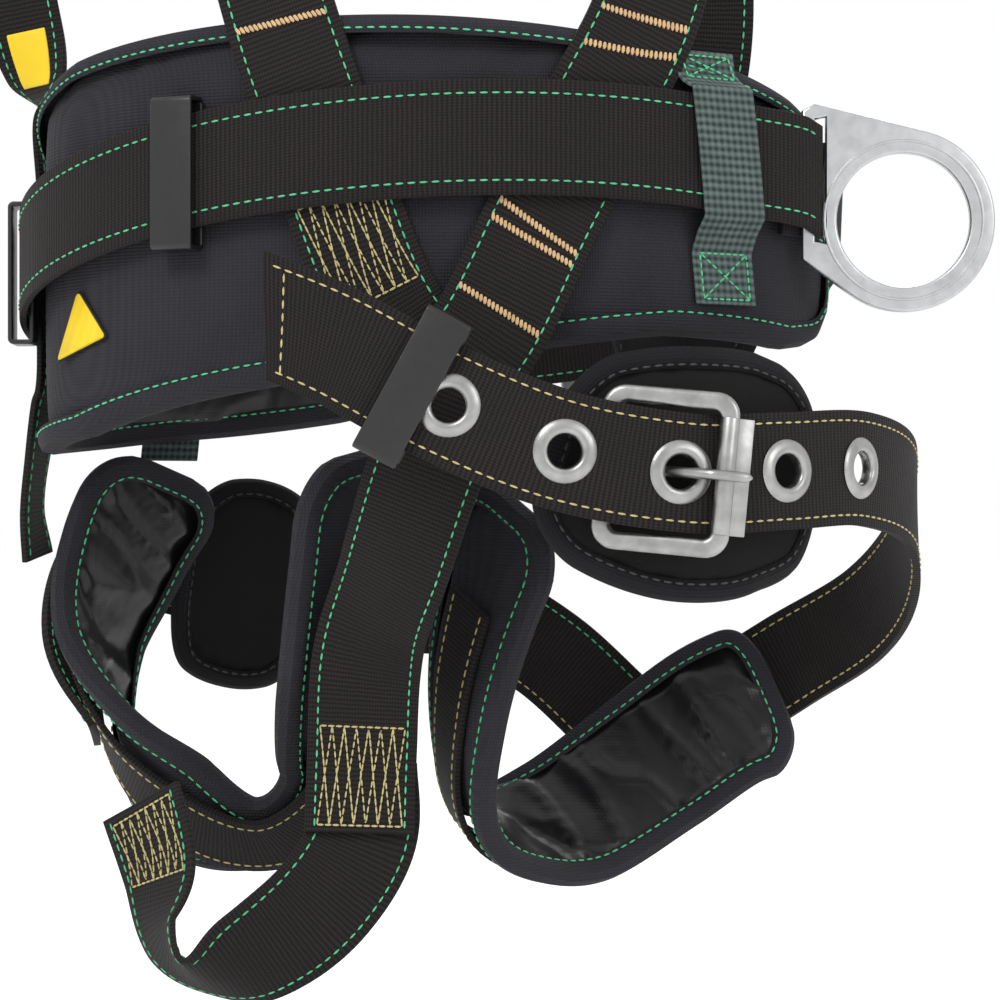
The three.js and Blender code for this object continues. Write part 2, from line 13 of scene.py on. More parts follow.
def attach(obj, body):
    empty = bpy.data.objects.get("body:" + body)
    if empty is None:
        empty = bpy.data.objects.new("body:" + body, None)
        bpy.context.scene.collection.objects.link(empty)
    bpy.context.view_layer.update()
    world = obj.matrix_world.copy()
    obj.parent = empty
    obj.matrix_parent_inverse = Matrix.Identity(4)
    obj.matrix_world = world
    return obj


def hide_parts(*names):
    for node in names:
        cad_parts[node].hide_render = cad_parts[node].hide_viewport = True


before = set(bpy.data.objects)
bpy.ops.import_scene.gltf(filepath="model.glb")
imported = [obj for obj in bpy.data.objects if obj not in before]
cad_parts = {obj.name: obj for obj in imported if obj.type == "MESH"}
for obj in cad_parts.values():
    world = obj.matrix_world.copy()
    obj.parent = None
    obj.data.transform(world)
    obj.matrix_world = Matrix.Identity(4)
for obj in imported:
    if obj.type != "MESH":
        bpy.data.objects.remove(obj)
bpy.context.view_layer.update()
LOG = logging.getLogger("saddle")
MM = 0.001
ROOT = "root"
Row = Sequence[float]
WIDE, NARROW = 44.5 * MM, 32 * MM
THIN, THICK = 2.6 * MM, 3.0 * MM
SHARP_ANGLE = math.radians(40)
STITCH_PITCH, STITCH_SHARE, THREAD_RADIUS = 4.6 * MM, 0.7, 0.45 * MM
BOX_PITCH, BOX_SHARE, BOX_RADIUS = 3.4 * MM, 0.86, 0.42 * MM
CLOTH_PRESSURE, CLOTH_FRAMES, CLOTH_QUALITY = 4.0, 20, 5
SAME_POINT = 1e-6


# ------------------------------------------------------------------ finishes
class Graph:
    """A small shader graph round one Principled shader."""

    def __init__(self, name: str, color: Row, roughness: float, metallic: float = 0.0) -> None:
        """Starts a material.

        Args:
            name: the material's name.
            color: linear base colour.
            roughness: base roughness.
            metallic: 0 or 1.
        """
        self.material = bpy.data.materials.new(f"{name}_finish")
        self.material.use_nodes = True
        self.tree = self.material.node_tree
        self.shader = self.tree.nodes["Principled BSDF"]
        self.shader.inputs["Base Color"].default_value = (*color, 1.0)
        self.shader.inputs["Roughness"].default_value = roughness
        self.shader.inputs["Metallic"].default_value = metallic

    def add(self, kind: str, **values: object) -> bpy.types.Node:
        """Adds a node and sets its properties.

        Args:
            kind: the node's type name.
            values: properties by name.

        Returns:
            The new node.
        """
        node = self.tree.nodes.new(kind)
        for key, value in values.items():
            setattr(node, key, value)
        return node

    def feed(self, source: bpy.types.NodeSocket | float, target: bpy.types.NodeSocket) -> None:
        """Links a socket, or sets a plain number.

        Args:
            source: a socket or a number.
            target: the input.
        """
        if isinstance(source, (int, float)):
            target.default_value = source
        else:
            self.tree.links.new(source, target)

    def math(self, operation: str, a: object, b: object = 0.0) -> bpy.types.NodeSocket:
        """Adds a Math node.

        Args:
            operation: the node's operation.
            a: first value or socket.
            b: second value or socket.

        Returns:
            The result socket.
        """
        node = self.add("ShaderNodeMath", operation=operation)
        self.feed(a, node.inputs[0])
        self.feed(b, node.inputs[1])
        return node.outputs[0]

    def axes(self, output: str) -> list[bpy.types.NodeSocket]:
        """The X, Y and Z of a texture coordinate, such as UV or Object.

        Args:
            output: UV or Object.

        Returns:
            The three values.
        """
        coordinate = self.add("ShaderNodeTexCoord")
        split = self.add("ShaderNodeSeparateXYZ")
        self.feed(coordinate.outputs[output], split.inputs[0])
        return list(split.outputs)

    def noise(self, output: str, scale: float, detail: float = 4.0) -> bpy.types.NodeSocket:
        """Noise on a texture coordinate.

        Args:
            output: UV or Object.
            scale: noise cells per metre.
            detail: octaves.

        Returns:
            The noise's value.
        """
        coordinate = self.add("ShaderNodeTexCoord")
        node = self.add("ShaderNodeTexNoise")
        node.inputs["Scale"].default_value = scale
        node.inputs["Detail"].default_value = detail
        self.feed(coordinate.outputs[output], node.inputs["Vector"])
        return node.outputs["Fac"]

    def wave(self, axis: bpy.types.NodeSocket, pitch: float) -> bpy.types.NodeSocket:
        """A sine from 0 to 1 along an axis.

        Args:
            axis: the coordinate.
            pitch: metres from crest to crest.

        Returns:
            The wave's value.
        """
        turned = self.math("MULTIPLY", axis, 2 * math.pi / pitch)
        return self.math("MULTIPLY_ADD", self.math("SINE", turned), 0.5)

    def ramp(self, value: bpy.types.NodeSocket, low: Row, high: Row) -> bpy.types.NodeSocket:
        """Colours a value from low to high.

        Args:
            value: 0 to 1.
            low: linear colour at 0.
            high: linear colour at 1.

        Returns:
            The colour socket.
        """
        node = self.add("ShaderNodeValToRGB")
        node.color_ramp.elements[0].color = (*low, 1.0)
        node.color_ramp.elements[1].color = (*high, 1.0)
        self.feed(value, node.inputs[0])
        return node.outputs[0]

    def color(self, value: bpy.types.NodeSocket) -> None:
        """Feeds the base colour."""
        self.feed(value, self.shader.inputs["Base Color"])

    def roughen(self, value: bpy.types.NodeSocket, low: float, high: float) -> None:
        """Spreads roughness between low and high by a value from 0 to 1.

        Args:
            value: 0 to 1.
            low: roughness at 0.
            high: roughness at 1.
        """
        node = self.add("ShaderNodeMapRange")
        node.inputs["To Min"].default_value = low
        node.inputs["To Max"].default_value = high
        self.feed(value, node.inputs["Value"])
        self.feed(node.outputs[0], self.shader.inputs["Roughness"])

    def bump(self, height: bpy.types.NodeSocket, distance: float, strength: float = 1.0) -> None:
        """Feeds a bump of that height in metres, on top of any earlier one.

        Args:
            height: 0 to 1.
            distance: metres at 1.
            strength: the node's strength.
        """
        node = self.add("ShaderNodeBump")
        node.inputs["Strength"].default_value = strength
        node.inputs["Distance"].default_value = distance
        self.feed(height, node.inputs["Height"])
        earlier = self.shader.inputs["Normal"].links
        if earlier:
            self.feed(earlier[0].from_socket, node.inputs["Normal"])
        self.feed(node.outputs[0], self.shader.inputs["Normal"])


@dataclass(frozen=True)
class WebbingFinish:
    """Woven webbing: ribs across the strap with yarns along it; its raised crests are coloured lighter as a
    painted highlight, over random tone patches.
    """

    name: str
    dark: Row
    # the crests' colour: partly the weave's own tone, partly a painted highlight
    light: Row
    rib: float = 1.9 * MM
    yarn: float = 1.15 * MM
    relief: float = 0.28 * MM
    sheen: float = 0.03
    specular: float = 0.18
    rib_share: float = 0.62
    wobble: float = 0.9 * MM
    fuzz: float = 0.06 * MM

    def build(self) -> bpy.types.Material:
        """Makes the material; the pattern follows the strap's own UV map in metres.

        Returns:
            The material.
        """
        graph = Graph(self.name, self.dark, 0.78)
        across, along, _ = graph.axes("UV")
        wobble = graph.math("MULTIPLY", graph.noise("UV", 260.0), self.wobble)
        rib = graph.wave(graph.math("ADD", along, wobble), self.rib)
        yarn = graph.wave(across, self.yarn)
        ribs = graph.math("MULTIPLY", rib, self.rib_share)
        weave = graph.math("ADD", ribs, graph.math("MULTIPLY", yarn, 1 - self.rib_share))
        patch = graph.noise("UV", 55.0)
        # painted highlight: the weave's raised ribs and yarns get the lighter colour, scaled by random tone
        # patches
        tone = graph.math("MULTIPLY", weave, graph.math("ADD", patch, 0.45))
        graph.color(graph.ramp(tone, self.dark, self.light))
        graph.roughen(patch, 0.66, 0.9)
        graph.bump(weave, self.relief)
        graph.bump(graph.noise("UV", 2600.0, 2.0), self.fuzz)
        graph.shader.inputs["Sheen Weight"].default_value = self.sheen
        graph.shader.inputs["Specular IOR Level"].default_value = self.specular
        return graph.material


@dataclass(frozen=True)
class ClothFinish:
    """A cloth or hide whose grain reads the object's coordinates."""

    name: str
    dark: Row
    light: Row
    thread: float
    relief: float
    roughness: tuple[float, float]
    crease: float = 0.0
    specular: float = 0.2
    sheen: float = 0.02

    def build(self) -> bpy.types.Material:
        """Makes the material: crossed threads, soft tone patches and optional creases.

        Returns:
            The material.
        """
        graph = Graph(self.name, self.dark, self.roughness[1])
        x, y, z = graph.axes("Object")
        level = graph.wave(z, self.thread)
        upright = graph.wave(graph.math("ADD", x, graph.math("MULTIPLY", y, 0.83)), self.thread)
        threads = graph.math("MULTIPLY", graph.math("ADD", level, upright), 0.5)
        patch = graph.noise("Object", 38.0, 6.0)
        tone = graph.math("ADD", graph.math("MULTIPLY", threads, 0.35), graph.math("MULTIPLY", patch, 0.65))
        graph.color(graph.ramp(tone, self.dark, self.light))
        graph.roughen(patch, *self.roughness)
        graph.bump(threads, self.relief)
        graph.bump(graph.noise("Object", 900.0, 3.0), self.relief * 0.5)
        if self.crease:
            graph.bump(graph.noise("Object", 60.0, 2.0), self.crease)
        graph.shader.inputs["Sheen Weight"].default_value = self.sheen
        graph.shader.inputs["Specular IOR Level"].default_value = self.specular
        return graph.material


@dataclass(frozen=True)
class MetalFinish:
    """Bare or plated metal with mottling and fine handling marks."""

    name: str
    dark: Row
    light: Row
    roughness: tuple[float, float]
    metallic: float = 1.0
    grain: float = 0.03 * MM

    def build(self) -> bpy.types.Material:
        """Makes the material on the object's coordinates.

        Returns:
            The material.
        """
        graph = Graph(self.name, self.light, self.roughness[0], self.metallic)
        mottle = graph.noise("Object", 170.0, 8.0)
        graph.color(graph.ramp(mottle, self.dark, self.light))
        graph.roughen(graph.noise("Object", 420.0, 6.0), *self.roughness)
        graph.bump(graph.noise("Object", 1500.0, 3.0), self.grain)
        graph.bump(graph.noise("Object", 130.0, 2.0), self.grain * 3)
        return graph.material


@dataclass(frozen=True)
class ThreadFinish:
    """Twisted sewing thread."""

    name: str
    dark: Row
    light: Row
    twist: float = 0.1 * MM
    sheen: float = 0.2

    def build(self) -> bpy.types.Material:
        """Makes the material; the tone varies from stitch to stitch.

        Returns:
            The material.
        """
        graph = Graph(self.name, self.light, 0.6)
        graph.color(graph.ramp(graph.noise("Object", 240.0, 3.0), self.dark, self.light))
        graph.bump(graph.noise("Object", 3500.0, 2.0), self.twist)
        graph.shader.inputs["Sheen Weight"].default_value = self.sheen
        return graph.material


class Look(Enum):
    """The saddle's finishes."""

    # The webbing finishes' second colour is the painted highlight on the weave's raised crests.
    WEBBING = WebbingFinish("black_webbing", (0.0015, 0.0012, 0.0012), (0.02, 0.016, 0.0155))
    GREY_WEBBING = WebbingFinish(
        "grey_webbing", (0.012, 0.022, 0.019), (0.11, 0.145, 0.138), 3.2 * MM, 3.0 * MM, 0.45 * MM)
    BINDING = WebbingFinish(
        "edge_binding", (0.0025, 0.0025, 0.003), (0.017, 0.017, 0.021), 1.4 * MM, 1.2 * MM)
    CANVAS = ClothFinish(
        "pad_canvas", (0.007, 0.007, 0.0092), (0.03, 0.03, 0.037), 1.3 * MM, 0.3 * MM, (0.75, 0.95))
    LINING = ClothFinish(
        "pad_lining", (0.003, 0.003, 0.0035), (0.009, 0.009, 0.011), 1.4 * MM, 0.03 * MM, (0.25, 0.42),
        1.2 * MM, 0.4)
    SUEDE = ClothFinish(
        "backing_suede", (0.003, 0.003, 0.0035), (0.011, 0.011, 0.012), 0.7 * MM, 0.12 * MM, (0.8, 0.95))
    ALUMINIUM = MetalFinish("forged_aluminium", (0.36, 0.37, 0.38), (0.6, 0.61, 0.62), (0.26, 0.42))
    ZINC = MetalFinish("zinc_steel", (0.2, 0.2, 0.195), (0.48, 0.48, 0.47), (0.24, 0.46))
    COAT = MetalFinish(
        "coated_steel", (0.004, 0.004, 0.0045), (0.01, 0.01, 0.011), (0.3, 0.42), 0.0, 0.05 * MM)
    GREEN = ThreadFinish("green_thread", (0.012, 0.27, 0.11), (0.09, 0.56, 0.28))
    TAN = ThreadFinish("tan_thread", (0.36, 0.21, 0.08), (0.66, 0.45, 0.23))
    PALE = ThreadFinish("pale_thread", (0.28, 0.23, 0.08), (0.54, 0.47, 0.2))
    BLACK_THREAD = ThreadFinish("black_thread", (0.008, 0.008, 0.009), (0.03, 0.03, 0.033))
    YELLOW = ClothFinish(
        "label_yellow", (0.62, 0.42, 0.012), (0.86, 0.62, 0.03), 0.6 * MM, 0.03 * MM, (0.45, 0.6))
    BLACK_PRINT = ClothFinish(
        "label_black", (0.006, 0.006, 0.006), (0.014, 0.014, 0.014), 0.6 * MM, 0.03 * MM, (0.5, 0.7))

    def material(self) -> bpy.types.Material:
        """The finish's material, made the first time it is asked for."""
        return bpy.data.materials.get(f"{self.value.name}_finish") or self.value.build()


# ------------------------------------------------------------------ stations, ring and routes
@dataclass
class Station:
    """A place on a strap: side runs across it, out away from the wearer and along down its length."""

    at: Vector
    side: Vector
    out: Vector
    along: Vector

    def matrix(self, shift: float = 0.0) -> Matrix:
        """The station as a matrix of side, out and along, moved out by shift."""
        turn = Matrix((self.side, self.out, self.along)).transposed().to_4x4()
        return Matrix.Translation(self.at + self.out * shift) @ turn


@dataclass(frozen=True)
class Ring:
    """The waist ring, an ellipse that slopes down towards the front."""

    half_width: float = 156 * MM
    half_depth: float = 99 * MM
    slope_y: float = -0.3
    slope_x: float = 0.05

    def point(self, degrees: float, offset: float, rise: float = 0.0) -> Vector:
        """A point at an angle round the ring.

        Args:
            degrees: 0 at the middle of the back, 90 at the right hip.
            offset: metres outwards from the pad's inner face.
            rise: metres above the belt's centre line.

        Returns:
            The point.
        """
        x = (self.half_width + offset) * math.sin(math.radians(degrees))
        y = -(self.half_depth + offset) * math.cos(math.radians(degrees))
        return Vector((x, y, self.slope_y * y + self.slope_x * x + rise))

    def station(self, degrees: float, offset: float, rise: float = 0.0) -> Station:
        """The station at an angle round the ring, its side straight up.

        Args:
            degrees: see point.
            offset: see point.
            rise: see point.

        Returns:
            The station.
        """
        sine, cosine = math.sin(math.radians(degrees)), math.cos(math.radians(degrees))
        out = Vector((sine / self.half_width, -cosine / self.half_depth, 0)).normalized()
        along = Vector((cosine * self.half_width, sine * self.half_depth, 0)).normalized()
        return Station(self.point(degrees, offset, rise), Vector((0, 0, 1)), out, along)


RING = Ring()
STRAP_ON_PAD = 13.9


def on_ring(degrees: float, rise: float, offset: float = STRAP_ON_PAD) -> tuple[float, ...]:
    """A route row, in millimetres, for a strap that lies on the waist ring."""
    station = RING.station(degrees, offset * MM, rise * MM)
    return (*(station.at / MM), *station.out)


class Route:
    """A smooth path through given rows of x, y, z in millimetres and an outward direction."""

    def __init__(self, rows: Sequence[Row]) -> None:
        """Keeps the rows as vectors."""
        self.points = [Vector(row[:3]) * MM for row in rows]
        self.facings = [Vector(row[3:]) for row in rows]

    @staticmethod
    def _blend(values: list[Vector], t: float) -> Vector:
        """The uniform spline through values, at t from 0 to 1.

        Args:
            values: the points that it passes through.
            t: 0 to 1.

        Returns:
            The point.
        """
        last = len(values) - 1
        place = min(max(t, 0.0), 1.0) * last
        i = min(int(place), last - 1)
        w = place - i
        a, b = values[i], values[i + 1]
        before = values[i - 1] if i > 0 else 2 * a - b
        after = values[i + 2] if i + 2 <= last else 2 * b - a
        start, end = (b - before) * 0.5, (after - a) * 0.5
        cubic = 2 * a - 2 * b + start + end
        square = -3 * a + 3 * b - 2 * start - end
        return cubic * w**3 + square * w**2 + start * w + a

    def station(self, t: float) -> Station:
        """The station at t, from 0 to 1.

        Args:
            t: 0 to 1.

        Returns:
            The station.
        """
        step = 1e-4
        ahead = self._blend(self.points, min(t + step, 1.0)) - self._blend(self.points, max(t - step, 0.0))
        along = ahead.normalized()
        side = self._blend(self.facings, t).normalized().cross(along).normalized()
        return Station(self._blend(self.points, t), side, along.cross(side).normalized(), along)

    def nearest(self, x: float) -> Station:
        """The first station to reach x millimetres.

        Args:
            x: millimetres.

        Returns:
            The station.
        """
        count = 1200
        gaps = [self._blend(self.points, i / count).x - x * MM for i in range(count + 1)]
        return self.station(next(i for i in range(count) if gaps[i] * gaps[i + 1] <= 0) / count)

    def stations(self, count: int) -> list[Station]:
        """Evenly timed stations from end to end."""
        return [self.station(i / count) for i in range(count + 1)]


BACK_RIGHT = Route([
    (100, -99, 150, 0.35, -1, 0), on_ring(30, 56), on_ring(23, 16), on_ring(15, -28), on_ring(11.5, -50, 15.6),
    on_ring(8, -71, 18.2), on_ring(4, -91, 19), (-2, -114, -92, 0, -1, 0.2),
    (-14, -94, -128, 0, -1, 0.4), (-26, -66, -165, 0, -1, 0.4), (-29, -52, -206, 0, -1, 0.1),
    (-30, -54, -238, 0, -1, 0)])
BACK_LEFT = Route([
    (-76, -103, 150, -0.3, -1, 0), on_ring(-20, 56), on_ring(-15.7, 18), on_ring(-10.5, -28), on_ring(-6, -61),
    on_ring(0, -87), (14, -109, -70, 0, -1, 0.1), (26, -103, -86, 0, -1, 0.2)])
LIFT_LOOP = Route([
    (-29, -48, -210, 0, -1, 0.1), (-29, -50, -240, 0, -1, 0), (-46, -55, -267, -0.05, -1, -0.1),
    (-72, -58, -287, -0.2, -0.8, -0.5), (-95, -56, -296, -0.4, -0.35, -0.85),
    (-111, -48, -281, -0.85, -0.5, -0.3), (-113, -38, -255, -0.7, -0.8, 0), (-122, -28, -228, -0.6, -0.9, 0)])
RIGHT_LEG = Route([
    (-69, -149, -31, -0.1, -1, 0), (-35, -152, -45, -0.1, -1, 0), (8, -154, -68, 0, -1, 0),
    (51, -153, -85, 0.05, -1, 0), (98, -146, -93, 0.2, -1, 0), (135, -129, -92, 0.5, -1, 0),
    (169, -98, -91, 0.8, -0.7, 0), (194, -52, -101, 1, -0.25, 0), (198, -5, -128, 1, 0.2, 0),
    (186, 34, -153, 0.8, 0.6, -0.1), (155, 64, -176, 0.4, 0.9, -0.2), (112, 68, -204, 0.2, 1, -0.3)])
RIGHT_PAD = Route([
    (34, -58, -104, -0.8, -0.6, 0), (22, -42, -142, -0.85, -0.5, 0), (13, -30, -185, -0.9, -0.4, 0),
    (13, -14, -226, -0.8, 0, -0.6), (28, 4, -246, -0.25, 0.3, -0.9), (56, 24, -242, 0.1, 0.75, -0.65),
    (93, 40, -219, 0.15, 0.88, -0.45), (124, 48, -198, 0.15, 0.92, -0.35), (150, 50, -188, 0.15, 0.95, -0.3)])
LEFT_PAD = Route([
    (-30, -56, -84, 0.8, -0.6, 0), (-35, -42, -127, 0.8, -0.6, 0), (-42, -25, -178, 0.8, -0.6, -0.1),
    (-44, -8, -218, 0.45, -0.65, -0.6), (-68, 6, -243, 0, -0.7, -0.7), (-102, 14, -238, -0.25, -0.75, -0.6),
    (-134, 24, -207, -0.8, -0.3, -0.45), (-148, 36, -164, -0.92, 0.35, -0.1), (-138, 44, -126, -0.75, 0.65, 0),
    (-118, 40, -90, -0.6, 0.8, 0)])
LEFT_LEG = Route([
    (-150, 34, -206, -0.8, -0.2, -0.45), (-162, 44, -166, -0.92, 0.4, -0.1), (-156, 74, -136, -0.8, 0.65, 0),
    (-134, 104, -132, -0.5, 0.87, 0), (-98, 120, -141, -0.25, 1, 0), (-60, 127, -148, -0.1, 1, 0),
    (-20, 126, -152, 0.05, 1, 0), (16, 120, -156, 0.1, 1, 0), (50, 110, -175, 0.1, 1, 0),
    (82, 100, -204, 0.1, 1, 0)])
SIDE_STRAPS_AT = -103.0
UNDER_BELT = 13.6
LEFT_HIP = Route([
    on_ring(SIDE_STRAPS_AT, -6, UNDER_BELT), on_ring(SIDE_STRAPS_AT, -34, UNDER_BELT),
    (-170, 27, -62, -1, 0.2, 0),
    (-174, 26, -86, -1, 0.1, 0), (-176, 26, -108, -1, 0.1, 0), (-174, 28, -128, -1, 0.2, 0)])
FRONT_LEFT = Route([
    on_ring(SIDE_STRAPS_AT, 6, UNDER_BELT), on_ring(SIDE_STRAPS_AT, 44, UNDER_BELT),
    (-170, 26, 62, -0.9, 0.1, 0),
    (-174, 24, 82, -0.5, -0.9, 0), (-179, 22, 104, 0, -1, 0), (-188, 20, 150, 0, -1, 0)])
FRONT_RIGHT = Route([
    (84, 8, -14, 0.2, -1, 0), (98, 6, 24, 0.2, -1, 0), (114, 0, 66, 0.1, -1, 0),
    (118, -8, 108, 0, -1, 0), (112, -16, 150, 0, -1, 0)])


def front_belt_route() -> Route:
    """The front belt's route, straight where its buckle sits.

    Returns:
        The route.
    """
    facing = on_ring(125, 0, 5)[3:]
    near, far = ((*on_ring(end, 0, 5)[:3], *facing) for end in (100, 150))
    straight = [tuple(a + (b - a) * share for a, b in zip(near, far)) for share in (0.25, 0.5, 0.75)]
    ends = [on_ring(degrees, 0, 5) for degrees in (162, 174, 186)]
    on_pad = [on_ring(degrees, 0, offset) for degrees, offset in ((66, 15.2), (74, 15.2), (82, 14.2), (91, 9))]
    return Route([*on_pad, near, *straight, far, *ends])


FRONT_BELT = front_belt_route()


# ------------------------------------------------------------------ making pieces
def finish_piece(mesh: bmesh.types.BMesh, name: str, looks: Sequence[Look], body: str,
                 nodes: Sequence[str] = ()) -> bpy.types.Object:
    """Turns a bmesh into a dressed piece that rides on a body.

    Args:
        mesh: the shape, which is used up.
        name: the piece's name.
        looks: its finishes, in material order.
        body: the body it rides on.
        nodes: CAD nodes it stands for.

    Returns:
        The piece.
    """
    label = f"{name}_piece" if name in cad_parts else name
    data = bpy.data.meshes.new(label)
    mesh.to_mesh(data)
    mesh.free()
    piece = bpy.data.objects.new(label, data)
    bpy.context.scene.collection.objects.link(piece)
    for look in looks:
        data.materials.append(look.material())
    data.shade_smooth()
    data.set_sharp_from_angle(angle=SHARP_ANGLE)
    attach(piece, body)
    if nodes:
        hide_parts(*nodes)
    LOG.info("made %s", name)
    return piece


def face_outwards(mesh: bmesh.types.BMesh) -> None:
    """Points every face of a closed shape outwards.

    Args:
        mesh: the shape.
    """
    bmesh.ops.recalc_face_normals(mesh, faces=mesh.faces[:])
    if mesh.calc_volume(signed=True) < 0:
        bmesh.ops.reverse_faces(mesh, faces=mesh.faces[:])


def solidify(piece: bpy.types.Object, thickness: float, edge: float) -> None:
    """Gives a sheet its thickness inwards and softens its edges.

    Args:
        piece: the sheet.
        thickness: metres.
        edge: the bevel's width, or 0 for none.
    """
    wall = piece.modifiers.new("thickness", "SOLIDIFY")
    wall.thickness = thickness
    wall.offset = -1.0
    if edge:
        soft = piece.modifiers.new("edge", "BEVEL")
        soft.width = edge
        soft.segments = 2
        soft.limit_method = "ANGLE"
        soft.angle_limit = math.radians(50)


@dataclass
class Strip:
    """A flat strap's surface, read in metres along it and across it."""

    stations: list[Station]
    width: float
    thickness: float
    lengths: list[float] = field(init=False)

    def __post_init__(self) -> None:
        """Measures the way along the strap."""
        self.lengths = [0.0]
        for a, b in zip(self.stations, self.stations[1:]):
            self.lengths.append(self.lengths[-1] + (b.at - a.at).length)

    @property
    def length(self) -> float:
        """The strap's whole length."""
        return self.lengths[-1]

    def station(self, along: float) -> Station:
        """The station that many metres along.

        Args:
            along: metres from its start.

        Returns:
            The station.
        """
        along = min(max(along, 0.0), self.length)
        i = next((k for k, reach in enumerate(self.lengths[1:]) if reach >= along), len(self.lengths) - 2)
        span = self.lengths[i + 1] - self.lengths[i]
        share = (along - self.lengths[i]) / span if span else 0.0
        a, b = self.stations[i], self.stations[i + 1]
        mix = [getattr(a, key).lerp(getattr(b, key), share) for key in ("at", "side", "out", "along")]
        return Station(mix[0], mix[1].normalized(), mix[2].normalized(), mix[3].normalized())

    def at_height(self, height: float) -> float:
        """Metres along to where the strap's middle is nearest to a height."""
        places = (i * MM for i in range(int(self.length / MM)))
        return min(places, key=lambda along: abs(self.point(along, 0).z - height))

    def point(self, along: float, across: float, lift: float = 0.0) -> Vector:
        """A point on the strap.

        Args:
            along: metres from its start.
            across: metres from its middle.
            lift: metres above its outer face; below the inner face is past minus the thickness.

        Returns:
            The point.
        """
        s = self.station(along)
        return s.at + s.side * across + s.out * (self.thickness / 2 + lift)


@dataclass
class Strap:
    """A length of webbing with thickness, softened edges and its own weave."""

    name: str
    strip: Strip
    look: Look = Look.WEBBING
    slot: str = "black_webbing"
    nodes: tuple[str, ...] = ()
    steps: int = 90
    across: int = 6
    slant: float = 0.0

    def build(self) -> bpy.types.Object:
        """Makes the strap, its UV map in metres so that the weave keeps its scale.

        Returns:
            The piece.
        """
        mesh = bmesh.new()
        uv = mesh.loops.layers.uv.new("UVMap")
        bmesh.ops.create_grid(mesh, x_segments=self.across, y_segments=self.steps, size=1.0)
        for face in mesh.faces:
            for loop in face.loops:
                co = loop.vert.co
                loop[uv].uv = (co.x * self.strip.width / 2, (co.y + 1) / 2 * self.strip.length)
        for vert in mesh.verts:
            along = (vert.co.y + 1) / 2 * self.strip.length
            along += self.slant * (0.5 + vert.co.x / 2) * max(0.0, 1 - along / (60 * MM))
            vert.co = self.strip.point(along, -vert.co.x * self.strip.width / 2)
        piece = finish_piece(mesh, self.name, [self.look], ROOT, self.nodes)
        solidify(piece, self.strip.thickness, 0.5 * MM)
        return piece


class Seam:
    """Stitches gathered into one piece of thread."""

    def __init__(self, name: str, look: Look, body: str = ROOT) -> None:
        """Starts an empty seam."""
        self.name, self.look, self.body = name, look, body
        self.mesh = bmesh.new()

    def stitch(self, start: Vector, end: Vector, out: Vector, radius: float = THREAD_RADIUS) -> None:
        """Lays one stitch.

        Args:
            start: where it comes up.
            end: where it goes down.
            out: away from the cloth.
            radius: half the thread's width.
        """
        along = end - start
        if along.length < SAME_POINT:
            return
        across = out.cross(along).normalized()
        basis = Matrix((along * 0.56, across * radius, out.normalized() * radius)).transposed().to_4x4()
        place = Matrix.Translation((start + end) / 2) @ basis
        bmesh.ops.create_icosphere(self.mesh, subdivisions=1, radius=1.0, matrix=place)

    def run(self, points: Sequence[tuple[Vector, Vector]], pitch: float = STITCH_PITCH,
            share: float = STITCH_SHARE, radius: float = THREAD_RADIUS) -> None:
        """Sews along a line of points and outward directions.

        Args:
            points: pairs of place and outward direction.
            pitch: metres from stitch to stitch.
            share: how much of the pitch is thread.
            radius: half the thread's width.
        """
        reach = [0.0]
        for (a, _), (b, _) in zip(points, points[1:]):
            reach.append(reach[-1] + (b - a).length)

        def place(distance: float) -> tuple[Vector, Vector]:
            """The place and outward direction on the line.

            Args:
                distance: metres along it.

            Returns:
                The place and the direction.
            """
            i = next((k for k, r in enumerate(reach[1:]) if r >= distance), len(reach) - 2)
            span = reach[i + 1] - reach[i]
            t = (distance - reach[i]) / span if span else 0.0
            return points[i][0].lerp(points[i + 1][0], t), points[i][1].lerp(points[i + 1][1], t)

        count = max(1, int(reach[-1] / pitch))
        for i in range(count):
            start, out = place(i * reach[-1] / count)
            end, _ = place((i + share) * reach[-1] / count)
            self.stitch(start, end, out, radius)

    def line(self, strip: Strip, corners: Sequence[tuple[float, float]], pitch: float = STITCH_PITCH,
             share: float = STITCH_SHARE, radius: float = THREAD_RADIUS, inside: bool = False) -> None:
        """Sews on a strap through corners of metres along and across.

        Args:
            strip: the strap.
            corners: the line's corners.
            pitch: metres from stitch to stitch.
            share: how much of the pitch is thread.
            radius: half the thread's width.
            inside: sew on the inner face.
        """
        lift = -strip.thickness - 0.15 * MM if inside else 0.15 * MM
        points = []
        for (a, x), (b, y) in zip(corners, corners[1:]):
            count = max(1, int(abs(b - a) / (5 * MM)))
            points += [(a + (b - a) * i / count, x + (y - x) * i / count) for i in range(count)]
        points.append(corners[-1])
        sign = -1 if inside else 1
        sewn = [(strip.point(s, x, lift), strip.station(s).out * sign) for s, x in points]
        self.run(sewn, pitch, share, radius)

    def edges(self, strip: Strip, start: float, end: float, inset: float = 4 * MM, both: bool = True) -> None:
        """Sews the two edge lines of a strap, on both faces if asked.

        Args:
            strip: the strap.
            start: metres along to its first stitch.
            end: metres along to its last stitch.
            inset: metres in from each edge.
            both: sew on both faces.
        """
        for side in (-1, 1):
            across = side * (strip.width / 2 - inset)
            for inside in (False, True)[: 2 if both else 1]:
                self.line(strip, [(start, across), (end, across)], inside=inside)

    def build(self) -> bpy.types.Object:
        """Makes the seam's piece."""
        return finish_piece(self.mesh, self.name, [self.look], self.body)


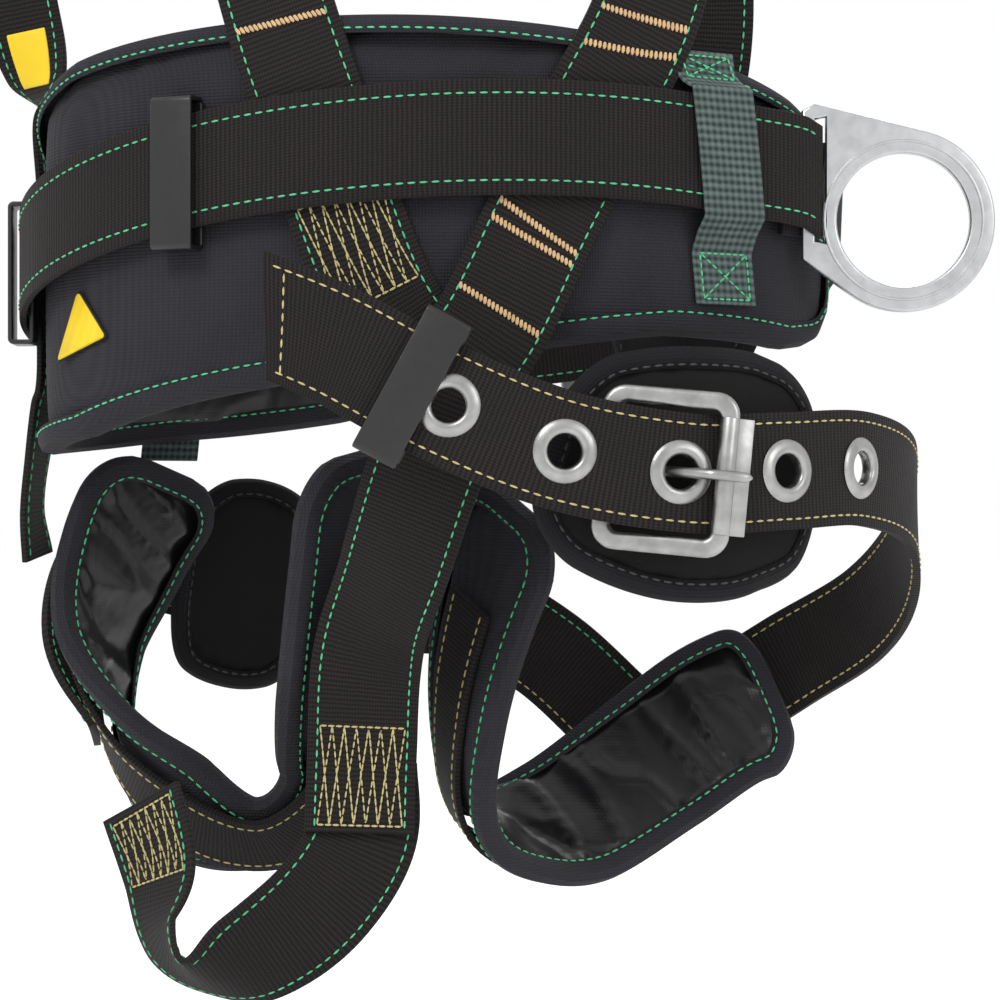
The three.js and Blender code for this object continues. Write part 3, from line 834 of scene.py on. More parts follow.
# ------------------------------------------------------------------ pads
@dataclass
class Pad:
    """A padded panel on a surface of u along (0 to 1), w across (-0.5 to 0.5) and n outwards."""

    name: str
    surface: Callable[[float, float, float], Vector]
    length: float
    width: float
    thickness: float
    nodes: tuple[str, ...]
    corner: float = 22 * MM
    steps: int = 90
    across: int = 16
    voxel: float = 4.2 * MM
    wrinkle: float = 0.0
    slim: float = 0.72
    thin_rim: float = 0.55
    swell: float = 0.2
    binding: float = 9 * MM
    tape_thickness: float = 0.5 * MM
    slot: str = "pad_canvas"
    face: Look = Look.CANVAS
    back: Look = Look.LINING
    tape: Look = Look.CANVAS

    def spread(self, u: float) -> float:
        """The share of the full width at u, less at the rounded corners.

        Args:
            u: 0 to 1 along the pad.

        Returns:
            The share.
        """
        from_end = min(u, 1 - u) * self.length
        if from_end >= self.corner:
            return 1.0
        fall = 1 - math.sqrt(max(0.0, 1 - ((self.corner - from_end) / self.corner) ** 2))
        return 1 - 2 * self.corner * fall / self.width

    def out(self, u: float, w: float) -> Vector:
        """The outward direction."""
        return (self.surface(u, w, 1 * MM) - self.surface(u, w, 0.0)).normalized()

    def shell(self) -> bmesh.types.BMesh:
        """The closed panel, a little slimmer than the finished pad.

        Returns:
            The shape.
        """
        mesh = bmesh.new()
        bmesh.ops.create_grid(mesh, x_segments=self.across, y_segments=self.steps, size=1.0)
        half = self.thickness / 2 * self.slim
        made = bmesh.ops.extrude_face_region(mesh, geom=mesh.faces[:])
        lifted = {item for item in made["geom"] if isinstance(item, bmesh.types.BMVert)}
        for vert in mesh.verts:
            u, w = (vert.co.y + 1) / 2, -vert.co.x / 2
            rim = 1 - self.thin_rim * abs(2 * w) ** 6
            level = half if vert in lifted else -half
            vert.co = self.surface(u, w * self.spread(u), self.thickness / 2 + level * rim)
        face_outwards(mesh)
        return mesh

    def build(self) -> bpy.types.Object:
        """Makes the pad: inflated by cloth, wrinkled and lined.

        Returns:
            The piece.
        """
        piece = finish_piece(self.shell(), self.name, [self.face, self.back], ROOT, self.nodes)
        inflate(piece, self.voxel, cap=self.thickness * self.swell)
        self.line_back(piece)
        if self.wrinkle:
            self.crumple(piece)
        return piece

    def tree(self) -> tuple[kdtree.KDTree, list[Vector]]:
        """A search tree of the middle surface and the outward direction at each of its points.

        Returns:
            The tree and the directions.
        """
        spots = [(i / 60, j / 6 - 0.5) for i in range(61) for j in range(7)]
        tree = kdtree.KDTree(len(spots))
        for k, (u, w) in enumerate(spots):
            tree.insert(self.surface(u, w * self.spread(u), self.thickness / 2), k)
        tree.balance()
        return tree, [self.out(u, w) for u, w in spots]

    def line_back(self, piece: bpy.types.Object) -> None:
        """Gives the faces towards the wearer the lining.

        Args:
            piece: the pad.
        """
        tree, outs = self.tree()
        for polygon in piece.data.polygons:
            _, k, _ = tree.find(polygon.center)
            polygon.material_index = 1 if polygon.normal.dot(outs[k]) < -0.2 else 0

    def crumple(self, piece: bpy.types.Object) -> None:
        """Presses slanting creases into the lining.

        Args:
            piece: the pad.
        """
        tree, outs = self.tree()
        for vert in piece.data.vertices:
            _, k, _ = tree.find(vert.co)
            if vert.normal.dot(outs[k]) > -0.2:
                continue
            slanted = Vector((vert.co.x * 46 + vert.co.z * 30, vert.co.y * 12, vert.co.z * 9 - vert.co.x * 7))
            ridge = 1 - abs(noise.noise(slanted))
            vert.co += outs[k] * self.wrinkle * (0.5 - ridge**7)

    def rim(self, count: int = 260) -> list[tuple[float, float]]:
        """The outline as a closed list of u and w.

        Args:
            count: points along each side.

        Returns:
            The outline.
        """
        half = [i / count for i in range(count + 1)]
        ends = [j / 8 for j in range(1, 8)]
        upper = [(u, 0.5 * self.spread(u)) for u in half]
        right = [(1.0, (0.5 - e) * self.spread(1.0)) for e in ends]
        lower = [(u, -0.5 * self.spread(u)) for u in reversed(half)]
        left = [(0.0, (e - 0.5) * self.spread(0.0)) for e in ends]
        return upper + right + lower + left

    def bind(self, stitch: Look = Look.GREEN) -> None:
        """Folds a binding tape over the edge and sews it on both faces.

        Args:
            stitch: the thread's finish.
        """
        rim = self.rim()
        size = len(rim)
        deep = self.binding
        over = self.thickness / 2 + self.tape_thickness
        profile = [(deep, over), (deep * 0.5, over + 0.35 * MM), (0.8 * MM, over * 0.75), (-0.7 * MM, 0.0),
                   (0.8 * MM, -over * 0.75), (deep * 0.5, -over - 0.35 * MM), (deep, -over)]
        middle = self.thickness / 2
        rows = []
        for i, (u, w) in enumerate(rim):
            at = self.surface(u, w, middle)
            ahead = self.surface(*rim[(i + 1) % size], middle) - self.surface(*rim[i - 1], middle)
            out = self.out(u, w)
            inward = ahead.normalized().cross(out).normalized()
            rows.append((at, inward, out))
        flip = -1 if rows[size // 4][1].dot(self.surface(0.5, 0, middle) - rows[size // 4][0]) < 0 else 1
        mesh = bmesh.new()
        uv = mesh.loops.layers.uv.new("UVMap")
        bmesh.ops.create_grid(mesh, x_segments=len(profile) - 1, y_segments=size, size=1.0)
        pitch = 3.4 * MM
        for face in mesh.faces:
            for loop in face.loops:
                loop[uv].uv = (loop.vert.co.x * 9 * MM, (loop.vert.co.y + 1) / 2 * size * pitch)
        for vert in mesh.verts:
            j = round((vert.co.x + 1) / 2 * (len(profile) - 1))
            at, inward, out = rows[round((vert.co.y + 1) / 2 * size) % size]
            vert.co = at + inward * flip * profile[j][0] + out * profile[j][1]
        bmesh.ops.remove_doubles(mesh, verts=mesh.verts[:], dist=SAME_POINT)
        bmesh.ops.recalc_face_normals(mesh, faces=mesh.faces[:])
        tape = finish_piece(mesh, f"{self.name}_binding", [self.tape], ROOT, ())
        solidify(tape, self.tape_thickness, 0.0)
        seam = Seam(f"{self.name}_edge_stitching", stitch)
        for side in (1, -1):
            lift = over + 0.55 * MM
            line = [(at + inward * flip * deep * 0.8 + out * side * lift, out * side)
                    for at, inward, out in rows]
            seam.run(line + line[:1])
        seam.build()


def inflate(piece: bpy.types.Object, voxel: float, cap: float) -> None:
    """Blows a closed shell up as cloth, and keeps no point further than cap from where it started.

    Args:
        piece: the shell, which gets its new mesh.
        voxel: the remesh size in metres.
        cap: the furthest that a point may move.
    """
    scene = bpy.context.scene
    fine = piece.modifiers.new("fine", "REMESH")
    fine.mode = "VOXEL"
    fine.voxel_size = voxel
    bpy.context.view_layer.update()
    graph = bpy.context.evaluated_depsgraph_get()
    start = bpy.data.meshes.new_from_object(piece.evaluated_get(graph))
    piece.modifiers.remove(fine)
    rest = [vert.co.copy() for vert in start.vertices]
    work = bpy.data.objects.new("inflating", start)
    scene.collection.objects.link(work)
    cloth = work.modifiers.new("cloth", "CLOTH")
    cloth.settings.use_pressure = True
    cloth.settings.uniform_pressure_force = CLOTH_PRESSURE
    cloth.settings.effector_weights.gravity = 0.0
    cloth.settings.quality = CLOTH_QUALITY
    cloth.point_cache.frame_start = 1
    cloth.point_cache.frame_end = CLOTH_FRAMES
    for step in range(1, CLOTH_FRAMES + 1):
        scene.frame_set(step)
    graph = bpy.context.evaluated_depsgraph_get()
    blown = bpy.data.meshes.new_from_object(work.evaluated_get(graph))
    for vert, home in zip(blown.vertices, rest):
        move = vert.co - home
        if move.length > cap:
            vert.co = home + move * (cap / move.length)
    bpy.data.objects.remove(work)
    looks = list(piece.data.materials)
    piece.data = blown
    blown.materials.clear()
    for look in looks:
        blown.materials.append(look)
    blown.shade_smooth()
    scene.frame_set(1)
    round_off = piece.modifiers.new("round", "SUBSURF")
    round_off.levels = 1
    round_off.render_levels = 1


# Each row is degrees round the ring, then the upper and the lower edge in millimetres from the belt's middle.
PAD_EDGES = (
    (-173, 26, -30), (-130, 44, -50), (-85, 66, -78), (-60, 66, -86), (0, 52, -83),
    (35, 43, -68), (60, 36, -64), (72, 30, -56), (78, 24, -50))


@dataclass
class WaistPad:
    """The waist pad, its binding and its plain yellow triangle."""

    start: float = -173.0
    end: float = 77.5
    thickness: float = 11.4 * MM
    patch_at: float = -58.0
    patch_drop: float = 45 * MM
    patch_stretch: float = 1.3
    patch_radius: float = 0.135

    def edge(self, degrees: float, column: int) -> float:
        """The pad's upper (1) or lower (2) edge above the belt's centre line, straight between its rows.

        Args:
            degrees: round the ring.
            column: 1 or 2.

        Returns:
            Metres above the line.
        """
        rows = PAD_EDGES
        i = next((k for k in range(1, len(rows)) if rows[k][0] >= degrees), len(rows) - 1)
        a, b = rows[i - 1], rows[i]
        share = min(max((degrees - a[0]) / (b[0] - a[0]), 0.0), 1.0)
        return (a[column] + (b[column] - a[column]) * share) * MM

    def surface(self, u: float, w: float, n: float) -> Vector:
        """The pad's surface.

        Args:
            u: 0 to 1 along the pad.
            w: -0.5 to 0.5 across it.
            n: metres outwards.

        Returns:
            The point.
        """
        degrees = self.start + (self.end - self.start) * u
        high, low = self.edge(degrees, 1), self.edge(degrees, 2)
        return RING.point(degrees, n, low + (high - low) * (w + 0.5))

    def build(self) -> None:
        """Makes the pad and what is sewn on it."""
        nodes = ("waist_pad_cover", "waist_pad_foam", "waist_pad_lining")
        pad = Pad("waist_pad", self.surface, 0.62, 0.13, self.thickness, nodes, corner=26 * MM, steps=150,
                  voxel=4.6 * MM)
        pad.build()
        pad.bind()
        self.triangle("pad_triangle_border", Look.BLACK_PRINT, 17.0 * MM, 0.2 * MM)
        self.triangle("pad_triangle", Look.YELLOW, 15.6 * MM, 0.5 * MM)

    def triangle(self, name: str, look: Look, size: float, lift: float) -> None:
        """A plain rounded triangle printed on the pad.

        Args:
            name: the piece's name.
            look: its finish.
            size: from its middle to a corner.
            lift: how far it stands off the cover.
        """
        mesh = bmesh.new()
        made = bmesh.ops.create_circle(mesh, cap_ends=True, segments=3, radius=size)
        bmesh.ops.bevel(mesh, geom=made["verts"], offset=2.2 * MM, segments=4, profile=0.5, affect="VERTICES",
                        material=-1)
        bmesh.ops.inset_region(mesh, faces=mesh.faces[:], thickness=1.5 * MM)
        for vert in mesh.verts:
            degrees = self.patch_at + math.degrees(self.patch_stretch * vert.co.x / self.patch_radius)
            rise = vert.co.y - self.patch_drop
            vert.co = RING.point(degrees, self.thickness + 1.2 * MM + lift, rise)
        bmesh.ops.recalc_face_normals(mesh, faces=mesh.faces[:])
        solidify(finish_piece(mesh, name, [look], ROOT, ()), 0.4 * MM, 0.0)


@dataclass
class LegPads:
    """The two leg pads."""

    width: float = 72 * MM
    thickness: float = 8.6 * MM
    pinch_at: float = 0.42
    pinch_span: float = 0.13
    webbing_span: tuple[int, int] = (12, 79)
    webbing_steps: int = 90

    def surface(self, route: Route, pinch: float) -> Callable[[float, float, float], Vector]:
        """A pad's surface on its route.

        Args:
            route: the pad's middle line.
            pinch: how much narrower it is where it turns under the thigh.

        Returns:
            The surface; see Pad.
        """
        def place(u: float, w: float, n: float) -> Vector:
            """A point on the pad.

            Args:
                u: 0 to 1 along it.
                w: -0.5 to 0.5 across it.
                n: metres outwards.

            Returns:
                The point.
            """
            s = route.station(u)
            wide = self.width - 2 * MM - pinch * math.exp(-(((u - self.pinch_at) / self.pinch_span) ** 2))
            return s.at + s.side * wide * w + s.out * (n - self.thickness / 2)
        return place

    def build(self) -> None:
        """Makes both pads with their bindings."""
        sides = (("right", RIGHT_PAD, 0.0, 0.33), ("left", LEFT_PAD, 32 * MM, 0.36))
        for side, route, pinch, length in sides:
            nodes = tuple(f"{side}_leg_pad_{layer}" for layer in ("cover", "foam", "lining"))
            pad = Pad(f"{side}_leg_pad", self.surface(route, pinch), length, self.width, self.thickness, nodes,
                      corner=24 * MM, voxel=3.4 * MM, wrinkle=3.4 * MM)
            pad.build()
            pad.bind()
        self.webbing()

    def webbing(self) -> None:
        """Makes the load webbing on the outside of both pads, with its stitching."""
        pale = Seam("leg_webbing_stitching", Look.PALE)
        for side, route, lift in (("right", RIGHT_PAD, 7.1 * MM), ("left", LEFT_PAD, 8.3 * MM)):
            stations = [route.station(i / self.webbing_steps) for i in range(*self.webbing_span)]
            for station in stations:
                station.at = station.at + station.out * lift
            name = f"{side}_leg_pad_webbing"
            strip = Strip(stations, NARROW, THIN)
            Strap(name, strip, nodes=(name,)).build()
            pale.edges(strip, 2 * MM, strip.length - 2 * MM, both=False)
        pale.build()


@dataclass
class BucklePads:
    """The suede backing pads behind the three buckles."""

    half: float = 48 * MM
    behind: float = 15 * MM
    thickness: float = 5.6 * MM
    taper: float = 0.34
    roundness: float = 2.2

    def build(self) -> None:
        """Makes the three pads."""
        places = (("right_leg", RIGHT_LEG, 104, 58), ("left_leg", LEFT_LEG, -94, 36),
                  ("front", FRONT_BELT, 119, -30))
        for name, route, x, reach in places:
            stations = [route.nearest(x - reach + 2 * reach * i / 40) for i in range(41)]
            strip = Strip(stations, 2 * self.half, 0.0)

            def surface(u: float, w: float, n: float, strip: Strip = strip) -> Vector:
                """The surface; see Pad."""
                wide = 2 * self.half * (1 - self.taper * abs(2 * u - 1) ** self.roundness)
                return strip.point(u * strip.length, w * wide, n - self.behind - self.thickness)

            pad = Pad(f"{name}_buckle_pad", surface, strip.length, 2 * self.half * 0.8, self.thickness,
                      (f"{name}_buckle_pad",), corner=20 * MM, steps=50, voxel=3.0 * MM, binding=8 * MM,
                      slot="backing_suede", face=Look.SUEDE, back=Look.SUEDE, tape=Look.BINDING)
            pad.build()
            pad.bind(Look.BLACK_THREAD)


# ------------------------------------------------------------------ straps
def w_box(seam: Seam, strip: Strip, start: float, end: float) -> None:
    """Sews a box filled with lengthways zigzag lines, as where two straps are joined.

    Args:
        seam: the seam it belongs to.
        strip: the strap.
        start: metres along to its first edge.
        end: metres along to its last edge.
    """
    half = strip.width / 2 - 5 * MM
    columns = 7
    corners = [(end if i % 2 else start, -half + 2 * half * i / columns) for i in range(columns + 1)]
    seam.line(strip, corners, BOX_PITCH, BOX_SHARE, BOX_RADIUS)
    seam.line(strip, corners[::-1], BOX_PITCH, BOX_SHARE, BOX_RADIUS)
    mirrored = [(start + end - s, x) for s, x in corners]
    seam.line(strip, mirrored, BOX_PITCH, BOX_SHARE, BOX_RADIUS)
    for edge in (start, end):
        seam.line(strip, [(edge, -half), (edge, half)], 3.0 * MM, 0.9, 0.5 * MM)


def bar_tack(seam: Seam, strip: Strip, along: float, slant: float = 0.0, depth: float = 3.0 * MM) -> None:
    """Sews a dense zigzag row across a strap.

    Args:
        seam: the seam it belongs to.
        strip: the strap.
        along: metres along to its middle.
        slant: how much further along its far side lies.
        depth: the row's height.
    """
    half = strip.width / 2 - 4 * MM
    count = 20
    for i in range(count):
        share = i / count
        across = -half + 2 * half * share
        s = along + slant * (share - 0.5)
        start = strip.point(s - depth / 2, across, 0.25 * MM)
        end = strip.point(s + depth / 2, across + 2 * half / count * 0.7, 0.25 * MM)
        seam.stitch(start, end, strip.station(s).out, 0.85 * MM)


@dataclass
class Straps:
    """The plain straps and their stitching."""

    def strip(self, route: Route, width: float, thickness: float = THIN, count: int = 90) -> Strip:
        """A strip along a route."""
        return Strip(route.stations(count), width, thickness)

    def build(self) -> None:
        """Makes the back, hip and front straps and the lift loop."""
        green = Seam("strap_edge_stitching", Look.GREEN)
        tan = Seam("strap_bar_tacks", Look.TAN)
        pale = Seam("strap_join_stitching", Look.PALE)
        right = self.strip(BACK_RIGHT, WIDE)
        left = self.strip(BACK_LEFT, WIDE)
        loop = self.strip(LIFT_LOOP, WIDE)
        made = (("back_strap_right", right), ("back_strap_left", left), ("lift_loop", loop),
                ("left_hip_strap", self.strip(LEFT_HIP, NARROW)),
                ("front_strap_left", self.strip(FRONT_LEFT, NARROW)),
                ("front_strap_right", self.strip(FRONT_RIGHT, NARROW)))
        for name, strip in made:
            Strap(name, strip, nodes=(name,)).build()
            green.edges(strip, 1 * MM, strip.length - 1 * MM)
        self.tacks(tan, pale, right, left, loop)
        for seam in (green, tan, pale):
            seam.build()
        self.label(made[4][1])

    def tacks(self, tan: Seam, pale: Seam, right: Strip, left: Strip, loop: Strip) -> None:
        """Sews the bar tacks and the joining boxes.

        Args:
            tan: seam for the bar tacks.
            pale: seam for the joining boxes.
            right: the right back strap.
            left: the left back strap.
            loop: the lift loop.
        """
        for strip, height, slant in ((right, 72, -14), (right, 84, -6), (left, 82, 4), (right, 2, 6),
                                     (right, -3, 4), (right, -30, 3)):
            bar_tack(tan, strip, strip.at_height(height * MM), slant * MM)
        low = left.at_height(14 * MM)
        w_box(pale, left, low, low + 42 * MM)
        w_box(pale, right, right.length - 44 * MM, right.length - 3 * MM)
        w_box(pale, loop, loop.length - 34 * MM, loop.length - 4 * MM)

    def label(self, strip: Strip) -> None:
        """A plain yellow patch on the left front strap.

        Args:
            strip: the left front strap.
        """
        start = strip.at_height(76 * MM)
        patch = Strip([strip.station(start + i * 2 * MM) for i in range(13)], 17 * MM, THIN + 1.0 * MM)
        Strap("front_strap_label", patch, Look.YELLOW, "black_webbing", steps=12).build()


# Each row is a grey loop's rise above the belt's middle and its offset from the ring, in millimetres.
LOOP_ROWS = ((42, 13.2), (34, 13.2), (29, 17), (25, 22), (12, 22.3), (0, 22.4), (-12, 22.3), (-25, 22),
             (-30, 17), (-36, 13.2), (-46, 13.2), (-56, 13.2))


class BeltEnd(Enum):
    """The belt's two ends: the D-ring bar's place round the ring and which way it points."""

    RIGHT = (59.5, 1)
    LEFT = (-177.0, -1)


@dataclass
class Belts:
    """The waist belt, the front belt and the grey loops that hold the belt to the pad."""

    offset: float = 18.5 * MM
    end_offset: float = 24 * MM
    fold: float = 4.1 * MM
    back: float = 14 * MM
    seam_gap: float = 29 * MM
    loop_lean: float = 0.045

    @staticmethod
    def ease(value: float, low: float, high: float) -> float:
        """A smooth step from 0 at low to 1 at high."""
        t = min(max((value - low) / (high - low), 0.0), 1.0)
        return t * t * (3 - 2 * t)

    def reach(self, degrees: float) -> float:
        """The belt's offset at an angle, larger towards its folds."""
        lift = max(self.ease(degrees, 44, 57), 1 - self.ease(degrees, -168, -150))
        return self.offset + (self.end_offset - self.offset) * lift

    def turn(self, end: BeltEnd) -> list[Station]:
        """The fold round a D-ring's bar, from the outer leg to the end of the inner leg.

        Args:
            end: which end of the belt.

        Returns:
            The fold's stations.
        """
        degrees, direction = end.value
        bar = RING.station(degrees, self.end_offset - self.fold)
        ahead = bar.along * direction
        stations = []
        for i in range(13):
            angle = math.pi * i / 12
            out = bar.out * math.cos(angle) + ahead * math.sin(angle)
            along = (ahead * math.cos(angle) - bar.out * math.sin(angle)) * direction
            stations.append(Station(bar.at + out * self.fold, bar.side, out, along))
        last = stations[-1]
        stations.append(Station(last.at - ahead * self.back, last.side, last.out, last.along))
        return stations

    def build(self) -> None:
        """Makes the belts, loops and their stitching."""
        first, last = BeltEnd.LEFT.value[0] + 4, BeltEnd.RIGHT.value[0] - 3
        run = [RING.station(d, self.reach(d)) for d in (first + (last - first) * i / 110 for i in range(111))]
        stations = [*reversed(self.turn(BeltEnd.LEFT)), *run, *self.turn(BeltEnd.RIGHT)]
        belt = Strip(stations, WIDE, THICK)
        Strap("waist_belt", belt, nodes=("waist_belt",), steps=260).build()
        seam = Seam("belt_stitching", Look.GREEN)
        seam.edges(belt, self.seam_gap, belt.length - self.seam_gap, 5.5 * MM)
        front = Strip(FRONT_BELT.stations(90), WIDE, THICK)
        seam.edges(front, 3 * MM, front.length - 3 * MM)
        self.loops(seam)
        seam.build()

    def loops(self, seam: Seam) -> None:
        """Makes the grey loops over the belt, each sewn down above and below with a crossed box.

        Args:
            seam: the green seam.
        """
        for name, degrees in (("belt_loop_right", 42), ("belt_loop_left", -135)):
            base = RING.station(degrees, 0)
            side = -base.along
            stations = []
            for rise, offset in reversed(LOOP_ROWS):
                at = RING.point(degrees - 1 - rise * self.loop_lean, offset * MM, rise * MM)
                stations.append(Station(at, side, base.out, Vector((0, 0, 1))))
            strip = Strip(stations, 28 * MM, 1.6 * MM)
            Strap(name, strip, Look.GREY_WEBBING, "grey_webbing", (name,), steps=60).build()
            half = strip.width / 2 - 3 * MM
            for low, high in ((2 * MM, 20 * MM), (strip.length - 12 * MM, strip.length - 2 * MM)):
                box = [(low, -half), (low, half), (high, half), (high, -half), (low, -half)]
                seam.line(strip, box, 3 * MM, 0.8)
                seam.line(strip, [(low, -half), (high, half)], 3 * MM, 0.8)
                seam.line(strip, [(low, half), (high, -half)], 3 * MM, 0.8)


# ------------------------------------------------------------------ punched straps, grommets and buckles
# Each row is a radius and a height in millimetres, from the hole outwards over one face's rolled rim.
GROMMET_RIM = ((6.4, 0.0), (6.4, 1.6), (6.9, 2.5), (7.9, 3.0), (9.2, 2.9), (10.6, 2.45), (11.6, 1.95),
               (12.0, 1.5), (11.6, 1.35), (7.1, 1.35), (7.1, 0.0))
# Each row is the tongue's middle line: out from its hinge and along the strap, in millimetres.
TONGUE_BEND = ((0, 3.2), (1.5, 11), (2.5, 19.5), (17.5, 32), (21.3, 38), (22.6, 50))


@dataclass
class PunchedStrap:
    """A strap with grommets; the strap keeps real holes."""

    name: str
    route: Route
    places: list[Station]
    steps: int
    slant: float = 0.0
    hole: float = 7.2 * MM

    def build(self) -> Strip:
        """Makes the strap, cuts its holes and sets the grommets.

        Returns:
            The strap's strip.
        """
        strip = Strip(self.route.stations(120), WIDE, THICK)
        strap = Strap(self.name, strip, nodes=(self.name,), steps=self.steps, across=14, slant=self.slant)
        piece = strap.build()
        punches = bmesh.new()
        for station in self.places:
            turn = station.matrix() @ Matrix.Rotation(math.pi / 2, 4, "X")
            bmesh.ops.create_cone(punches, cap_ends=True, segments=32, radius1=self.hole, radius2=self.hole,
                                  depth=14 * MM, matrix=turn)
        data = bpy.data.meshes.new(f"{self.name}_punch")
        punches.to_mesh(data)
        punches.free()
        punch = bpy.data.objects.new(f"{self.name}_punch", data)
        bpy.context.scene.collection.objects.link(punch)
        cut = piece.modifiers.new("holes", "BOOLEAN")
        cut.operation = "DIFFERENCE"
        cut.object = punch
        piece.modifiers.move(len(piece.modifiers) - 1, 1)
        bpy.context.view_layer.update()
        graph = bpy.context.evaluated_depsgraph_get()
        cut_mesh = bpy.data.meshes.new_from_object(piece.evaluated_get(graph))
        piece.modifiers.clear()
        piece.data = cut_mesh
        bpy.data.objects.remove(punch)
        for i, station in enumerate(self.places):
            self.grommet(i + 1, station)
        return strip

    def grommet(self, number: int, station: Station) -> None:
        """Spins one grommet: a rolled rim on each face joined through the hole.

        Args:
            number: counts from 1.
            station: its place on the strap.
        """
        profile = [*GROMMET_RIM, *[(r, -y) for r, y in reversed(GROMMET_RIM)]]
        mesh = bmesh.new()
        verts = [mesh.verts.new((r * MM, y * MM, 0)) for r, y in profile]
        edges = [mesh.edges.new((a, b)) for a, b in zip(verts, verts[1:] + verts[:1]) if a is not b]
        bmesh.ops.spin(mesh, geom=verts + edges, cent=(0, 0, 0), axis=(0, 1, 0), angle=2 * math.pi, steps=40,
                       use_merge=True)
        bmesh.ops.remove_doubles(mesh, verts=mesh.verts[:], dist=SAME_POINT)
        face_outwards(mesh)
        bmesh.ops.transform(mesh, matrix=station.matrix(), verts=mesh.verts[:])
        node = f"{self.name}_grommet_{number}"
        finish_piece(mesh, node, [Look.ZINC], ROOT, (node,))


@dataclass
class Buckle:
    """A tongue buckle: rounded frame, pivoting tongue and folded roller."""

    name: str
    station: Station
    pivot: tuple[float, float] = (-9.5 * MM, -26 * MM)
    roller: tuple[float, float] = (5.5 * MM, 16 * MM)
    arm: float = 7 * MM
    half: float = 31 * MM
    thick: float = 4.6 * MM
    rod: float = 2 * MM
    hub: float = 4.4 * MM
    tube: float = 3.6 * MM
    tube_length: float = 44 * MM

    def build(self) -> None:
        """Makes the buckle's three pieces."""
        self.frame()
        self.tongue()
        self.roll()

    def frame(self) -> None:
        """Makes the frame: a rounded rectangle with softened edges."""
        rise, run = self.roller[0] - self.pivot[0], self.roller[1] - self.pivot[1]
        long_half = math.hypot(rise, run) / 2 + self.arm / 2
        mesh = bmesh.new()
        rounded_plate(mesh, self.half, long_half, 9 * MM, self.half - self.arm, long_half - self.arm, 3 * MM,
                      self.thick, 1.9 * MM)
        middle = Vector((0, (self.pivot[0] + self.roller[0]) / 2, (self.pivot[1] + self.roller[1]) / 2))
        tilt = Matrix.Translation(middle) @ Matrix.Rotation(-math.atan2(rise, run), 4, "X")
        bmesh.ops.transform(mesh, matrix=self.station.matrix() @ tilt, verts=mesh.verts[:])
        finish_piece(mesh, f"{self.name}_frame", [Look.ZINC], ROOT, (f"{self.name}_frame",))

    def tongue(self) -> None:
        """Makes the tongue: a bent rod with a round tip, on a hub."""
        route = Route([(0, y, z, 1, 0, 0) for y, z in TONGUE_BEND])
        mesh = bmesh.new()
        bmesh.ops.create_cone(mesh, cap_ends=True, segments=16, radius1=self.rod, radius2=self.rod, depth=2.0)
        shaft = [edge for edge in mesh.edges if abs(edge.verts[0].co.z - edge.verts[1].co.z) > 1]
        bmesh.ops.subdivide_edges(mesh, edges=shaft, cuts=44, use_grid_fill=True)
        for vert in mesh.verts:
            t = (vert.co.z + 1) / 2
            s = route.station(t)
            tip = math.sqrt(max(0.05, 1 - max(0.0, (t - 0.95) / 0.05) ** 2))
            vert.co = s.at + (s.side * vert.co.y + s.out * vert.co.x) * tip
        ring = bmesh.ops.create_cone(mesh, cap_ends=True, segments=32, radius1=self.hub, radius2=self.hub,
                                     depth=8 * MM, matrix=Matrix.Rotation(math.pi / 2, 4, "Y"))
        rims = {edge for vert in ring["verts"] for edge in vert.link_edges if edge.calc_face_angle(0) > 1}
        bmesh.ops.bevel(mesh, geom=list(rims), offset=0.8 * MM, segments=3, profile=0.5, affect="EDGES",
                        material=-1)
        face_outwards(mesh)
        self.place(mesh, self.pivot, "tongue")

    def roll(self) -> None:
        """Makes the roller: a tube with the flat end of its folded sheet."""
        mesh = bmesh.new()
        turn = Matrix.Rotation(math.pi / 2, 4, "Y")
        tube = bmesh.ops.create_cone(mesh, cap_ends=True, segments=36, radius1=self.tube, radius2=self.tube,
                                     depth=self.tube_length, matrix=turn)
        rims = {edge for vert in tube["verts"] for edge in vert.link_edges if edge.calc_face_angle(0) > 1}
        bmesh.ops.bevel(mesh, geom=list(rims), offset=0.6 * MM, segments=2, profile=0.5, affect="EDGES",
                        material=-1)
        size = Matrix.Diagonal((self.tube_length, 1.4 * MM, 7.4 * MM, 1))
        shape = Matrix.Translation((0, -2.2 * MM, 6.5 * MM)) @ size
        fin = bmesh.ops.create_cube(mesh, size=1.0, matrix=shape)
        edges = {edge for vert in fin["verts"] for edge in vert.link_edges}
        bmesh.ops.bevel(mesh, geom=list(edges), offset=0.5 * MM, segments=2, profile=0.5, affect="EDGES",
                        material=-1)
        self.place(mesh, self.roller, "roller")

    def place(self, mesh: bmesh.types.BMesh, spot: tuple[float, float], part: str) -> None:
        """Moves a piece onto its hinge and dresses it.

        Args:
            mesh: the piece's shape about its hinge.
            spot: the hinge's out and along in the buckle.
            part: tongue or roller.
        """
        node = f"{self.name}_{part}"
        place = self.station.matrix() @ Matrix.Translation((0, *spot))
        bmesh.ops.transform(mesh, matrix=place, verts=mesh.verts[:])
        finish_piece(mesh, node, [Look.ZINC], node, (node,))


